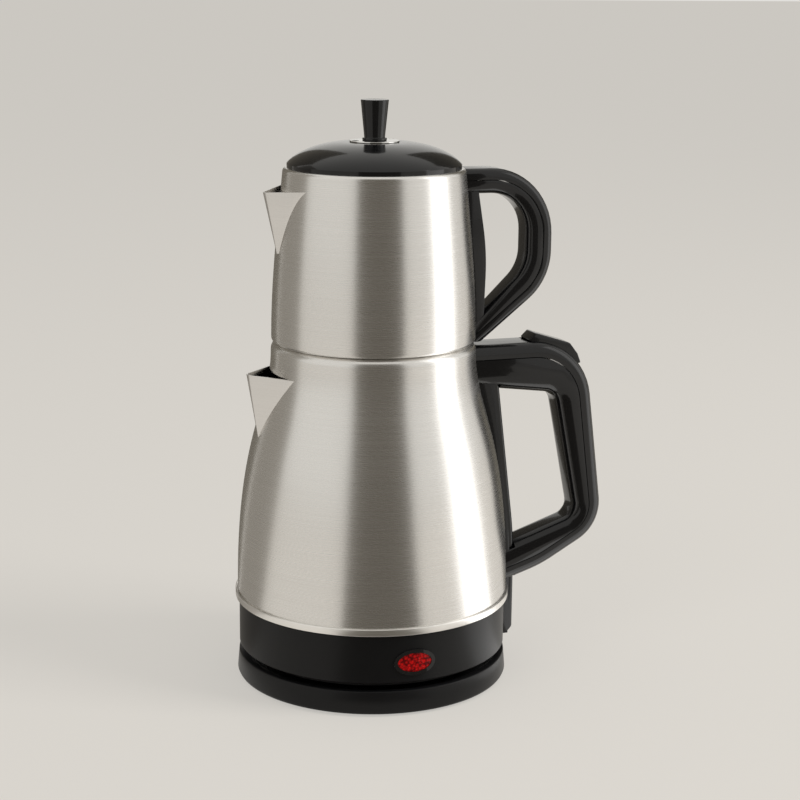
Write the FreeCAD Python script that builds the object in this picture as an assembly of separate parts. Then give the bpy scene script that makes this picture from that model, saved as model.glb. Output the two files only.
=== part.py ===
import FreeCAD, Part
import math
import os

V = FreeCAD.Vector

# Two-tier electric tea maker: a cordless kettle on its power base, with a teapot seated in the kettle's mouth.
# Millimetres, Z up. The origin is on the kettle's axis, on the surface that the base stands on.
# The handles point along +X, the spouts along -X, and the indicator lamp faces -Y.

# General fits
sleeve_gap = 0.05
slide_gap = 0.35
pivot_gap = 0.05
handle_gap = 0.1
sheet = 0.8
moulding = 2.2

# The kettle's belly leads; the neck, the teapot and the base follow it
kettle_radius = 78.7
neck_step = 20.1
neck_radius = kettle_radius - neck_step
mouth_step = 9.6
mouth_radius = neck_radius - mouth_step

# Power base
base_step = 0.3
base_radius = kettle_radius + base_step
base_top_inset = 1.0
base_height = 14.5
base_low_round = 2.5
base_top_round = 1.2
base_floor_z = 12.0
base_rim_width = 4.0
foot_proud = 1.0
foot_step = 14.0
foot_radius = base_radius - foot_step
foot_width = 6.0
foot_depth = 1.2
base_plate_thickness = 2.0
rest_rib_step = 27.0
rest_rib_radius = base_radius - rest_rib_step
rest_rib_width = 4.5
rest_rise = 1.7
base_boss_circle = 40.0
base_boss_radius = 4.0
base_screw_radius = 1.5
base_screw_head_radius = 2.8
base_screw_head_height = 1.1
base_screw_count = 3

# Coupler between base and kettle
coupler_post_radius = 12.7
coupler_post_height = 16.0
coupler_seat_radius = 19.9
coupler_flange = 4.0
contact_ring_depth = 1.0
contact_ring_height = 2.0
contact_ring_count = 2
contact_ring_pitch = 6.0
socket_outer_radius = 19.0
socket_flange = 4.0
socket_drop = 2.0
socket_roof = 2.5
cord_bush_radius = 4.0
cord_bush_bore = 3.0
cord_bush_length = 8.5
cord_bush_flange = 1.0
lead_radius = 1.1
lead_spread = 5.0

# Kettle, from its lower cover to the mouth
cover_thickness = 2.5
collar_step = 0.9
collar_radius = kettle_radius - collar_step
cover_step = 5.8
cover_radius = collar_radius - cover_step
collar_wall = 2.5
collar_height = 28.7
collar_flange = 12.0
trim_ring_wall = 1.25
trim_ring_radius = kettle_radius + sleeve_gap + trim_ring_wall
trim_ring_height = 4.0
trim_ring_foot = 1.0
kettle_height = 146.8
belly_pull = 93.8
neck_pull = 35.6
shoulder_round = 5.0
mouth_lip_depth = 7.0
bottom_rise = 2.6
bottom_flange = 6.0
post_step = 11.8
post_circle = collar_radius - post_step
post_radius = 3.2
post_count = 3
cover_screw_radius = 1.5
cover_screw_head_radius = 2.8
cover_screw_length = 16.0

# Heater and control under the kettle
heat_plate_step = 22.7
heat_plate_radius = kettle_radius - heat_plate_step
heat_plate_thickness = 3.5
element_step = 12.0
element_circle = heat_plate_radius - element_step
element_radius = 3.6
element_flat = 0.4
element_open_angle = 50.0
element_pin_radius = 1.6
element_pin_length = 8.0
control_length = 36.0
control_width = 30.0
control_height = 11.5

# Indicator lamp in the collar
lamp_z_in_collar = 12.2
lamp_width = 24.0
lamp_height = 15.2
lamp_flange = 1.1
lamp_proud = 0.9
lamp_wall = 1.0
lamp_depth = 5.5
lamp_glass_radius = 2.6
lamp_glass_length = 13.0

# Kettle spout: a pressed V with a level rim
spout_low_rise = 89.1
spout_rim_rise = 130.6
spout_tip_step = 16.2
spout_reach = neck_radius + spout_tip_step
spout_half_angle = 22.5
spout_tip_round = 5.0
spout_foot_scale = 0.05
spout_flare_angle = 10.0
spout_flare_share = 0.27
spout_wall_share = 0.38

# Teapot
teapot_step = 0.3
teapot_radius = neck_radius - teapot_step
teapot_taper = 6.7
teapot_top_radius = teapot_radius - teapot_taper
teapot_height = 98.2
teapot_foot_round = 2.0
teapot_rim_round = 2.4
teapot_low_pull = 33.5
teapot_high_pull = 25.0
teapot_high_lean = 0.095
teapot_mouth_step = 4.3
teapot_mouth_radius = teapot_top_radius - teapot_mouth_step
teapot_lip_depth = 8.0
nest_depth = 6.0
nest_flange = 3.5
teapot_spout_low = 51.6
teapot_spout_rim = 87.8
teapot_spout_tip_drop = 2.0
teapot_spout_tip_step = 5.7
teapot_spout_reach = teapot_radius + teapot_spout_tip_step
teapot_spout_half_angle = 24.5
teapot_spout_tip_round = 4.5
strainer_hole_radius = 1.5
strainer_pitch = 5.0

# Lid and knob
lid_radius = teapot_top_radius - teapot_rim_round
lid_wall = 2.2
lid_rim_height = 2.2
lid_rise = 14.2
lid_flat_radius = 14.5
lid_edge_pull = 4.6
lid_edge_lean = 3.2
lid_top_pull = 18.5
lid_skirt_depth = 8.0
knob_disc_radius = 14.0
knob_disc_thickness = 0.8
knob_collar_radius = 6.9
knob_collar_height = 1.5
knob_low_radius = 5.8
knob_top_radius = 7.9
knob_height = 22.6
knob_top_round = 0.6
knob_dish = 0.5
knob_screw_radius = 2.0
knob_screw_length = 12.0
knob_screw_head_radius = 3.8
knob_screw_head_height = 2.0
knob_washer_radius = 6.0
knob_washer_thickness = 0.8
vent_radius = 2.0
vent_circle = 11.2

# Kettle handle: a D, with its corners given beyond the steel's radius and above the trim ring
handle_width = 25.0
handle_outer_round = 6.0
handle_inner_round = 9.0
handle_parting = 8.5
handle_top_drop = 5.2
grip_top_out = 50.2
grip_top_round = 38.0
grip_low_out = 64.9
grip_low_rise = 26.6
grip_low_round = 26.0
arm_bend_out = 25.3
arm_bend_rise = 4.4
arm_bend_round = 80.0
arm_root_out = -12.7
arm_root_rise = -7.6
top_arm_root_in = 6.6
top_arm_depth = 24.1
hole_top_drop = 31.7
hole_top_round = 9.0
grip_top_width = 18.1
grip_low_width = 17.8
hole_low_rise = 34.2
hole_low_round = 8.0
hole_root_rise = 13.9

# Spine: the strip that carries the handle down the kettle's back
spine_width = 20.4
spine_cover_depth = 3.8
spine_cover_width = 17.0
spine_cover_round = 2.0
spine_wall = 1.2
spine_out = 6.7
spine_top_out = 15.5
spine_top_drop = 22.0
spine_bend_rise = 22.9
spine_bend_round = 250.0
spine_low_drop = 3.2
spine_chamfer = 4.0

# Brackets and screws that hold the handles
tongue_width = 7.6
tongue_thickness = 2.0
tab_height = 14.0
tab_thickness = 1.2
handle_screw_radius = 1.5
handle_screw_head_radius = 2.6
handle_screw_head_height = 1.3
handle_boss_radius = 4.2
top_tongue_drop = 22.8
top_tongue_reach = 27.4
low_tongue_rise = 11.6
low_tongue_reach = 18.3
screw_from_end = 4.5
screw_past_tongue = 1.0

# Switch at the handle's top corner
paddle_width = 14.0
paddle_gap = 0.5
paddle_angle = 8.0
pivot_back = 18.9
pivot_drop = 7.2
pivot_radius = 1.5
pivot_boss_radius = 3.6
pivot_pin_length = 21.0
well_back = 18.5
well_ahead = 21.0
well_under = 3.1
well_low = 11.3
well_low_ahead = 3.0
plunger_back = 9.0
plunger_radius = 2.0
plunger_length = 10.7
plunger_rest_gap = 0.35
control_box_length = 22.0
control_box_height = 9.6
bimetal_radius = 4.5
bimetal_thickness = 0.4
control_box_back = 26.0
wire_radius = 0.6
wire_spread = 5.6
wire_gap = 0.1
wire_exit_drop = 4.5
wire_bend = 4.0
wire_slot_z_in_collar = 17.8
wire_slot_height = 8.0
wire_slot_width = 18.0
steam_bush_radius = 3.5
steam_bush_bore = 2.5
steam_bush_drop = 11.6
steam_bush_flange = 0.6
steam_bush_length = 7.0

# Teapot handle: a C, with its corners given beyond the teapot's radius and below its top
teapot_handle_width = 21.0
teapot_outer_round = 4.5
teapot_inner_round = 6.0
teapot_parting = 6.5
teapot_handle_top_drop = 1.4
teapot_grip_out = 47.6
teapot_grip_round = 38.7
teapot_elbow_drop = 67.1
teapot_elbow_round = 36.0
teapot_arm_slope = 38.8
teapot_handle_low_drop = 2.9
teapot_arm_depth = 14.5
teapot_grip_depth = 15.6
teapot_hole_round = 22.5
teapot_hole_elbow_drop = 58.7
teapot_hole_slope = 44.7
teapot_spine_width = 16.4
teapot_spine_wall = 1.6
teapot_spine_top_drop = 7.4
teapot_spine_low_rise = 7.3
teapot_spine_top_out = 7.2
teapot_spine_mid_out = 7.3
teapot_spine_mid_rise = 48.8
teapot_spine_low_out = 5.9
teapot_spine_bend = 150.0
teapot_tongue_width = 6.4
teapot_tongue_thickness = 1.6
teapot_tab_height = 10.0
teapot_top_tongue_drop = 9.2
teapot_top_tongue_reach = 20.0
teapot_low_tongue_rise = 9.0
teapot_low_tongue_reach = 14.0

# Levels that follow from the sizes above
cover_z = base_height + rest_rise
collar_z = cover_z + cover_thickness
ring_z = collar_z + collar_height
ring_top_z = ring_z + trim_ring_height
body_low_z = ring_z + trim_ring_foot
seat_z = ring_top_z + kettle_height
teapot_top_z = seat_z + teapot_height
lid_flat_z = teapot_top_z + lid_rise
bottom_z = ring_z + bottom_rise
spout_low_z = ring_top_z + spout_low_rise
spout_rim_z = ring_top_z + spout_rim_rise
handle_top_z = seat_z - handle_top_drop
steam_z = seat_z - steam_bush_drop
pivot_x = kettle_radius + grip_top_out - pivot_back
pivot_z = handle_top_z - pivot_drop
control_top_z = pivot_z - well_under
top_tongue_z = handle_top_z - top_tongue_drop
low_tongue_z = ring_top_z + low_tongue_rise
teapot_top_tongue_z = teapot_top_z - teapot_top_tongue_drop
teapot_low_tongue_z = seat_z + teapot_low_tongue_rise

parts = {}


def point(x, z, y=0.0):
    return V(x, y, z)


def straight(a, b):
    return Part.LineSegment(a, b).toShape()


def bezier(*poles):
    curve = Part.BezierCurve()
    curve.setPoles(list(poles))
    return curve.toShape()


def quarter(centre, radius, start_deg, end_deg):
    def at(angle):
        turn = math.radians(angle)
        return V(centre.x + radius * math.cos(turn), centre.y, centre.z + radius * math.sin(turn))
    return Part.Arc(at(start_deg), at((start_deg + end_deg) / 2.0), at(end_deg)).toShape()


def revolved(edges):
    face = Part.Face(Part.Wire(edges))
    return face.revolve(V(0, 0, 0), V(0, 0, 1), 360)


def revolved_outline(*pairs):
    corners = [point(r, z) for r, z in pairs]
    return revolved([straight(a, b) for a, b in zip(corners, corners[1:] + corners[:1])])


def disc(radius, z_low, z_high, x=0.0, y=0.0):
    return Part.makeCylinder(radius, z_high - z_low, V(x, y, z_low))


def ring(inner, outer, z_low, z_high, x=0.0, y=0.0):
    return disc(outer, z_low, z_high, x, y).cut(disc(inner, z_low - 1, z_high + 1, x, y))


def block(x_low, x_high, y_low, y_high, z_low, z_high):
    return Part.makeBox(x_high - x_low, y_high - y_low, z_high - z_low, V(x_low, y_low, z_low))


def rod(a, b, radius):
    return Part.makeCylinder(radius, (b - a).Length, a, b - a)


def round_the_axis(count, radius, start_deg=0.0):
    for number in range(count):
        turn = math.radians(start_deg + number * 360.0 / count)
        yield radius * math.cos(turn), radius * math.sin(turn)


def group(solids):
    return Part.makeCompound(list(solids))


# Outlines in the XZ plane, drawn as corners with a radius each
def corner_path(corners, radii):
    edges = []
    last = corners[0]
    for before, here, after, radius in zip(corners, corners[1:], corners[2:], radii):
        way_in = (before - here).normalize()
        way_out = (after - here).normalize()
        half_turn = math.acos(max(-1.0, min(1.0, way_in.dot(way_out)))) / 2.0
        tangent = radius / math.tan(half_turn)
        start = here + way_in * tangent
        end = here + way_out * tangent
        bisector = (way_in + way_out).normalize()
        middle = here + bisector * (radius / math.sin(half_turn) - radius)
        edges.append(straight(last, start))
        edges.append(Part.Arc(start, middle, end).toShape())
        last = end
    edges.append(straight(last, corners[-1]))
    return edges


# The same outline moved sideways: a positive distance moves it to the right of its direction
def shifted_path(corners, radii, distance):
    ways = [(b - a).normalize() for a, b in zip(corners, corners[1:])]
    sides = [V(way.z, 0, -way.x) for way in ways]
    moved = [corners[0] + sides[0] * distance]
    new_radii = []
    for index, radius in enumerate(radii):
        here = corners[index + 1]
        first, second = sides[index], sides[index + 1]
        spread = 1.0 + first.dot(second)
        moved.append(here + (first + second) * (distance / spread))
        turn = ways[index].z * ways[index + 1].x - ways[index].x * ways[index + 1].z
        new_radii.append(radius - distance if turn > 0 else radius + distance)
    moved.append(corners[-1] + sides[-1] * distance)
    return moved, new_radii


def slab(edges, half_width):
    face = Part.Face(Part.Wire(Part.sortEdges(edges)[0]))
    face.translate(V(0, -half_width, 0))
    return face.extrude(V(0, 2 * half_width, 0))


# A bar between an outer and an inner path, rounded along both
def rounded_bar(outer, inner, half_width, outer_round, inner_round):
    outer_edges = corner_path(*outer)
    inner_edges = corner_path(*inner)
    ends = [straight(outer[0][0], inner[0][0]), straight(outer[0][-1], inner[0][-1])]
    bar = slab(outer_edges + inner_edges + ends, half_width)

    def along(path_edges):
        middles = [edge.valueAt((edge.FirstParameter + edge.LastParameter) / 2.0) for edge in path_edges]
        chosen = []
        for edge in bar.Edges:
            middle = edge.valueAt((edge.FirstParameter + edge.LastParameter) / 2.0)
            if abs(abs(middle.y) - half_width) > 0.001:
                continue
            flat = V(middle.x, 0, middle.z)
            if min((flat - m).Length for m in middles) < 0.01:
                chosen.append(edge)
        return chosen

    bar = bar.makeFillet(outer_round, along(outer_edges))
    if inner_round:
        bar = bar.makeFillet(inner_round, along(inner_edges))
    return bar.Solids[0]


# The region between a path and the same path moved sideways
def strip_beside(corners, radii, near, far, half_width):
    near_path = shifted_path(corners, radii, near)
    far_path = shifted_path(corners, radii, far)
    ends = [straight(near_path[0][0], far_path[0][0]), straight(near_path[0][-1], far_path[0][-1])]
    return slab(corner_path(*near_path) + corner_path(*far_path) + ends, half_width)


# The steel of the kettle as a filled form: a positive inset is inside the surface, a negative one outside
def kettle_form(inset=0.0):
    low_r = kettle_radius - inset
    top_r = neck_radius - inset
    shoulder_z = seat_z - shoulder_round
    flat_r = neck_radius - shoulder_round
    return revolved([
        straight(point(0, body_low_z), point(low_r, body_low_z)),
        straight(point(low_r, body_low_z), point(low_r, ring_top_z)),
        bezier(point(low_r, ring_top_z), point(low_r, ring_top_z + belly_pull),
               point(top_r, shoulder_z - neck_pull), point(top_r, shoulder_z)),
        quarter(point(flat_r, shoulder_z), shoulder_round - inset, 0, 90),
        straight(point(flat_r, seat_z - inset), point(0, seat_z - inset)),
        straight(point(0, seat_z - inset), point(0, body_low_z)),
    ])


# Everything of the kettle that the handle stands against
def kettle_envelope(gap):
    collar_form = disc(collar_radius + gap, 0, ring_z)
    ring_form = disc(trim_ring_radius + gap, ring_z - gap, ring_top_z + gap)
    return kettle_form(-gap).fuse([collar_form, ring_form])


def teapot_form(inset=0.0):
    low_r = teapot_radius - inset
    top_r = teapot_top_radius - inset
    low_z = seat_z + teapot_foot_round
    high_z = teapot_top_z - teapot_rim_round
    foot_r = teapot_radius - teapot_foot_round
    rim_r = teapot_top_radius - teapot_rim_round
    lean = teapot_high_lean * teapot_high_pull
    return revolved([
        straight(point(0, seat_z + inset), point(foot_r, seat_z + inset)),
        quarter(point(foot_r, low_z), teapot_foot_round - inset, -90, 0),
        bezier(point(low_r, low_z), point(low_r, low_z + teapot_low_pull),
               point(top_r + lean, high_z - teapot_high_pull), point(top_r, high_z)),
        quarter(point(rim_r, high_z), teapot_rim_round - inset, 0, 90),
        straight(point(rim_r, teapot_top_z - inset), point(0, teapot_top_z - inset)),
        straight(point(0, teapot_top_z - inset), point(0, seat_z + inset)),
    ])


# Power base
def make_base():
    top_r = base_radius - base_top_inset
    rim_in = top_r - base_rim_width
    dish_r = rim_in - (base_height - base_floor_z)
    rib_in = rest_rib_radius - rest_rib_width / 2.0
    rib_out = rest_rib_radius + rest_rib_width / 2.0
    under_z = base_floor_z - moulding
    skirt_r = base_radius - moulding
    outline = [
        straight(point(skirt_r, foot_proud), point(base_radius - base_low_round, foot_proud)),
        quarter(point(base_radius - base_low_round, foot_proud + base_low_round), base_low_round, -90, 0),
        straight(point(base_radius, foot_proud + base_low_round), point(top_r, base_height - base_top_round)),
        quarter(point(top_r - base_top_round, base_height - base_top_round), base_top_round, 0, 90),
    ]
    corners = [
        (top_r - base_top_round, base_height), (rim_in, base_height), (dish_r, base_floor_z),
        (rib_out, base_floor_z), (rib_out, cover_z), (rib_in, cover_z), (rib_in, base_floor_z),
        (coupler_seat_radius, base_floor_z), (coupler_seat_radius, under_z), (dish_r - moulding, under_z),
        (skirt_r - moulding, base_height - moulding), (skirt_r, base_height - 2 * moulding),
        (skirt_r, foot_proud),
    ]
    corners = [point(r, z) for r, z in corners]
    outline += [straight(a, b) for a, b in zip(corners, corners[1:])]
    shell = revolved(outline)
    plate_top = foot_proud + base_plate_thickness
    screw_top = under_z - sheet
    screws = []
    plate = disc(skirt_r - sleeve_gap, foot_proud, plate_top)
    for x, y in round_the_axis(base_screw_count, base_boss_circle, 30.0):
        boss = disc(base_boss_radius, plate_top, under_z, x, y)
        shell = shell.fuse(boss).cut(disc(base_screw_radius, plate_top - 1, screw_top, x, y))
        head_z = foot_proud + base_screw_head_height + sleeve_gap
        head = disc(base_screw_head_radius, foot_proud + sleeve_gap, head_z, x, y)
        screws.append(head.fuse(disc(base_screw_radius, head_z, screw_top, x, y)))
        plate = plate.cut(disc(base_screw_head_radius + sleeve_gap, foot_proud - 1, head_z, x, y))
        plate = plate.cut(disc(base_screw_radius + sleeve_gap, foot_proud - 1, plate_top + 1, x, y))
    foot_in = foot_radius - foot_width / 2.0
    foot_out = foot_radius + foot_width / 2.0
    foot_top = foot_proud + foot_depth
    plate = plate.cut(ring(foot_in, foot_out, foot_proud - 1, foot_top))

    bush_y = base_radius + cord_bush_flange
    bush_z = (plate_top + under_z) / 2.0
    bush_in = V(0, bush_y - cord_bush_length, bush_z)
    bush_out = V(0, bush_y, bush_z)
    bush = rod(bush_in, bush_out, cord_bush_radius)
    flange = rod(V(0, base_radius, bush_z), bush_out, cord_bush_radius - sheet)
    bush = bush.cut(disc(base_radius * 2, foot_proud - 9, plate_top)).fuse(flange)
    hole = rod(bush_in - V(0, 1, 0), bush_out + V(0, 1, 0), cord_bush_radius)
    shell = shell.cut(hole.cut(disc(base_radius * 2, 0, plate_top)))
    bush = bush.cut(rod(bush_in - V(0, 1, 0), bush_out + V(0, 1, 0), cord_bush_bore))
    parts["base_shell"] = shell.removeSplitter()
    parts["base_plate"] = plate
    parts["base_foot_ring"] = ring(foot_in, foot_out, 0, foot_top)
    parts["base_screws"] = group(screws)
    parts["cord_bush"] = bush

    post_top = base_floor_z + coupler_post_height
    rings = []
    post = revolved_outline(
        (0, under_z - moulding), (coupler_seat_radius + coupler_flange, under_z - moulding),
        (coupler_seat_radius + coupler_flange, under_z), (coupler_seat_radius - sleeve_gap, under_z),
        (coupler_seat_radius - sleeve_gap, base_floor_z), (coupler_post_radius, base_floor_z),
        (coupler_post_radius, post_top - 1), (coupler_post_radius - 1, post_top), (0, post_top))
    contact_out = coupler_post_radius
    for number in range(contact_ring_count):
        low = base_floor_z + contact_ring_pitch * (number + 1) - contact_ring_height
        band = ring(contact_out - contact_ring_depth, contact_out, low, low + contact_ring_height)
        rings.append(band)
        post = post.cut(band)
    parts["base_coupler"] = post
    parts["base_contacts"] = group(rings)

    lead_top = under_z - moulding
    lead_z = lead_top - lead_radius
    leads = []
    for side in (-1, 1):
        start = V(side * lead_spread, coupler_seat_radius - lead_spread, lead_z)
        end = V(side * lead_spread / 4.0, bush_y - cord_bush_length + 1, bush_z)
        leads.append(rod(start, end, lead_radius))
    parts["base_leads"] = group(leads)


# Socket under the kettle: round all over, so the kettle sits on the base at any angle
def make_coupler():
    low_z = cover_z - socket_drop
    post_top = base_floor_z + coupler_post_height
    roof_low = post_top + contact_ring_depth
    roof_top = roof_low + socket_roof
    bore = coupler_post_radius + slide_gap
    socket = revolved_outline(
        (bore, low_z), (socket_outer_radius, low_z), (socket_outer_radius, collar_z),
        (socket_outer_radius + socket_flange, collar_z),
        (socket_outer_radius + socket_flange, collar_z + moulding),
        (socket_outer_radius, collar_z + moulding), (socket_outer_radius, roof_top), (0, roof_top),
        (0, roof_low), (bore, roof_low))
    rings = []
    for number in range(contact_ring_count):
        low = base_floor_z + contact_ring_pitch * (number + 1) - contact_ring_height
        band = ring(bore, bore + contact_ring_depth, low, low + contact_ring_height)
        rings.append(band)
        socket = socket.cut(band)
    parts["kettle_coupler"] = socket
    parts["coupler_rings"] = group(rings)
    return roof_top


# Kettle's lower end: cover, collar, trim ring, bottom plate and posts
def make_kettle_foot():
    flange_in = collar_radius - collar_flange - collar_wall
    flange_top = collar_z + collar_wall
    cover = ring(socket_outer_radius + sleeve_gap, cover_radius, cover_z, collar_z)
    collar = revolved_outline(
        (flange_in, collar_z), (collar_radius - 1, collar_z), (collar_radius, collar_z + 1),
        (collar_radius, ring_z), (collar_radius - collar_wall, ring_z),
        (collar_radius - collar_wall, flange_top), (flange_in, flange_top))
    bottom_r = kettle_radius - sheet - sleeve_gap
    bottom = disc(bottom_r, bottom_z, bottom_z + bottom_flange)
    bottom = bottom.cut(disc(bottom_r - sheet, bottom_z + sheet, bottom_z + bottom_flange + 1))
    posts = []
    screws = []
    for x, y in round_the_axis(post_count, post_circle, 60.0):
        screw_top = cover_z + cover_screw_length
        head_z = cover_z + 1.5
        bore = disc(cover_screw_radius + sleeve_gap, cover_z - 1, screw_top, x, y)
        posts.append(disc(post_radius, flange_top, bottom_z, x, y).cut(bore))
        head = disc(cover_screw_head_radius, cover_z + 0.2, head_z, x, y)
        screws.append(head.fuse(disc(cover_screw_radius, head_z, screw_top - 0.5, x, y)))
        cover = cover.cut(bore)
        cover = cover.cut(disc(cover_screw_head_radius + sleeve_gap, cover_z - 1, head_z, x, y))
        collar = collar.cut(bore)
    parts["kettle_base_cover"] = cover
    parts["kettle_bottom"] = bottom
    parts["mounting_posts"] = group(posts)
    parts["cover_screws"] = group(screws)
    foot_in = collar_radius - collar_wall / 2.0
    wall_in = kettle_radius + sleeve_gap
    parts["trim_ring"] = revolved_outline(
        (foot_in, ring_z), (trim_ring_radius, ring_z), (trim_ring_radius, ring_top_z - 0.6),
        (trim_ring_radius - 0.6, ring_top_z), (wall_in, ring_top_z), (wall_in, body_low_z),
        (foot_in, body_low_z))
    return collar


def oval(width, height, y_near, y_far, z):
    centre = V(0, y_near, z)
    ellipse = Part.Ellipse(centre + V(width / 2.0, 0, 0), centre + V(0, 0, height / 2.0), centre)
    return Part.Face(Part.Wire(ellipse.toShape())).extrude(V(0, y_far - y_near, 0))


# Indicator lamp: bezel, lens and glow lamp
def make_lamp(collar):
    z = collar_z + lamp_z_in_collar
    barrel_w = lamp_width - 2 * lamp_flange
    barrel_h = lamp_height - 2 * lamp_flange
    lens_w = barrel_w - 2 * lamp_wall
    lens_h = barrel_h - 2 * lamp_wall
    back = -(collar_radius - lamp_depth)
    front = -(collar_radius + lamp_proud + 5)
    skin = disc(collar_radius + lamp_proud, 0, seat_z)
    collar = collar.cut(oval(barrel_w + 2 * sleeve_gap, barrel_h + 2 * sleeve_gap, front, back + 4, z))
    flange = oval(lamp_width, lamp_height, front, back, z).common(skin)
    flange = flange.cut(disc(collar_radius + sleeve_gap, 0, seat_z))
    barrel = oval(barrel_w, barrel_h, front, back, z).common(skin)
    bezel = flange.fuse(barrel).cut(oval(lens_w, lens_h, front - 1, back + 9, z))
    parts["lamp_bezel"] = bezel.removeSplitter()
    lens_skin = disc(collar_radius + lamp_proud / 2.0, 0, seat_z)
    lens = oval(lens_w - 2 * sleeve_gap, lens_h - 2 * sleeve_gap, front, back, z)
    parts["lamp_lens"] = lens.common(lens_skin)
    glow = rod(V(0, back, z), V(0, back + lamp_glass_length, z), lamp_glass_radius)
    parts["indicator_lamp"] = glow
    return collar


# Heater, its terminals and the dry-boil control
def make_heater(socket_top):
    plate_low = bottom_z - heat_plate_thickness
    parts["heat_plate"] = disc(heat_plate_radius, plate_low, bottom_z)
    tube_z = plate_low - element_radius + element_flat
    circle = Part.Circle(point(element_circle, tube_z), V(0, 1, 0), element_radius)
    section = Part.Face(Part.Wire(circle.toShape()))
    sweep = 360.0 - element_open_angle
    tube = section.revolve(V(0, 0, 0), V(0, 0, 1), sweep)
    tube.rotate(V(0, 0, 0), V(0, 0, 1), 180.0 + element_open_angle / 2.0)
    tube = tube.cut(disc(element_circle * 2, plate_low, bottom_z))
    pins = []
    for side in (-1, 1):
        turn = math.radians(180.0 + side * (element_open_angle / 2.0 + 3.0))
        x, y = element_circle * math.cos(turn), element_circle * math.sin(turn)
        pins.append(disc(element_pin_radius, tube_z - element_pin_length, tube_z, x, y))
    parts["heating_element"] = tube.fuse(pins)
    control_low = plate_low - control_height
    control = block(-control_length / 2.0, control_length / 2.0, -control_width / 2.0, control_width / 2.0,
                    max(control_low, socket_top + 1.0), plate_low)
    parts["boil_dry_control"] = control


# A pressed V spout: outer and inner forms run from a small foot low on the wall to the rim.
# The outer form flares into the vessel at the rim, and the flare dies out towards the foot.
def spout_forms(radius_at, low_z, rim_z, reach, half_angle, tip_round, tip_drop):
    def rim_wire(thickness, foot, flared):
        turn = math.radians(half_angle)
        corner = radius_at(rim_z) - 0.5
        corner_x = -corner * math.cos(turn)
        side = corner * math.sin(turn) - thickness
        tip_x = -reach + thickness
        back_x = corner_x + side
        tip = V(tip_x - tip_round * 0.4, 0, rim_z)
        corners = [V(back_x, -side * 0.8, rim_z), V(corner_x, -side, rim_z), tip,
                   V(corner_x, side, rim_z), V(back_x, side * 0.8, rim_z)]
        way = (corners[1] - tip).normalize()
        half = math.acos(way.dot(V(1, 0, 0)))
        tangent = tip_round / math.tan(half)
        start = tip + way * tangent
        end = V(start.x, -start.y, rim_z)
        nose = tip + V(tip_round / math.sin(half) - tip_round, 0, 0)
        sides = [straight(corners[1], start), straight(end, corners[3])]
        if flared:
            flare = turn + math.radians(spout_flare_angle)
            low = V(-corner * math.cos(flare), -corner * math.sin(flare), rim_z)
            leaving = V(-math.sin(flare), math.cos(flare), 0)
            length = (low - start).Length
            poles = [low, low + leaving * length * spout_flare_share,
                     start + way * length * spout_wall_share, start]
            mirrored = [V(pole.x, -pole.y, pole.z) for pole in reversed(poles)]
            sides = [bezier(*poles), bezier(*mirrored)]
            back = low.x - low.y
            corners = [V(back, low.y * 0.8, rim_z), low, tip, V(low.x, -low.y, rim_z),
                       V(back, -low.y * 0.8, rim_z)]
        edges = [straight(corners[0], corners[1]), sides[0], Part.Arc(start, nose, end).toShape(), sides[1],
                 straight(corners[3], corners[4]), straight(corners[4], corners[0])]
        wire = Part.Wire(edges)
        if foot:
            foot_z = low_z + thickness * 3.0
            anchor = V(-radius_at(foot_z) + 0.5 + thickness, 0, foot_z)
            matrix = FreeCAD.Matrix()
            matrix.move(V(-corner_x, 0, -rim_z))
            matrix.scale(spout_foot_scale, spout_foot_scale, spout_foot_scale)
            matrix.move(anchor)
            wire = wire.transformGeometry(matrix)
        elif tip_drop:
            matrix = FreeCAD.Matrix()
            slope = tip_drop / (reach + corner_x)
            matrix.A31 = slope
            matrix.A34 = -slope * corner_x
            wire = wire.transformGeometry(matrix)
        return wire
    outer = Part.makeLoft([rim_wire(0.0, True, True), rim_wire(0.0, False, True)], True, True)
    inner = Part.makeLoft([rim_wire(sheet, True, False), rim_wire(sheet, False, False)], True, True)
    return outer, inner


# Radius of a profile curve at one height
def edge_radius(curve, z):
    low, high = curve.FirstParameter, curve.LastParameter
    for _ in range(40):
        middle = (low + high) / 2.0
        if curve.valueAt(middle).z < z:
            low = middle
        else:
            high = middle
    return curve.valueAt(middle).x


kettle_profile = bezier(
    point(kettle_radius, ring_top_z), point(kettle_radius, ring_top_z + belly_pull),
    point(neck_radius, seat_z - shoulder_round - neck_pull), point(neck_radius, seat_z - shoulder_round))
teapot_profile = bezier(
    point(teapot_radius, seat_z + teapot_foot_round),
    point(teapot_radius, seat_z + teapot_foot_round + teapot_low_pull),
    point(teapot_top_radius + teapot_high_lean * teapot_high_pull,
          teapot_top_z - teapot_rim_round - teapot_high_pull),
    point(teapot_top_radius, teapot_top_z - teapot_rim_round))


def kettle_radius_at(z):
    return edge_radius(kettle_profile, z)


def teapot_radius_at(z):
    return edge_radius(teapot_profile, z)


# Kettle body with its turned-down mouth, and the spout on it
def make_kettle():
    outer, inner = spout_forms(kettle_radius_at, spout_low_z, spout_rim_z, spout_reach,
                               spout_half_angle, spout_tip_round, 0.0)
    lip_z = seat_z - mouth_lip_depth
    lip = ring(mouth_radius, mouth_radius + sheet, lip_z, seat_z)
    steam_start = V(neck_radius - moulding, 0, steam_z)
    steam_end = V(neck_radius + moulding, 0, steam_z)
    steam_hole = rod(steam_start, steam_end, steam_bush_radius + sleeve_gap)
    body = kettle_form().cut(kettle_form(sheet)).cut(disc(mouth_radius, lip_z, seat_z + 1)).fuse(lip)
    parts["kettle_body"] = body.cut([inner, steam_hole]).removeSplitter()
    parts["kettle_spout"] = outer.cut([inner, kettle_form()])


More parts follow.
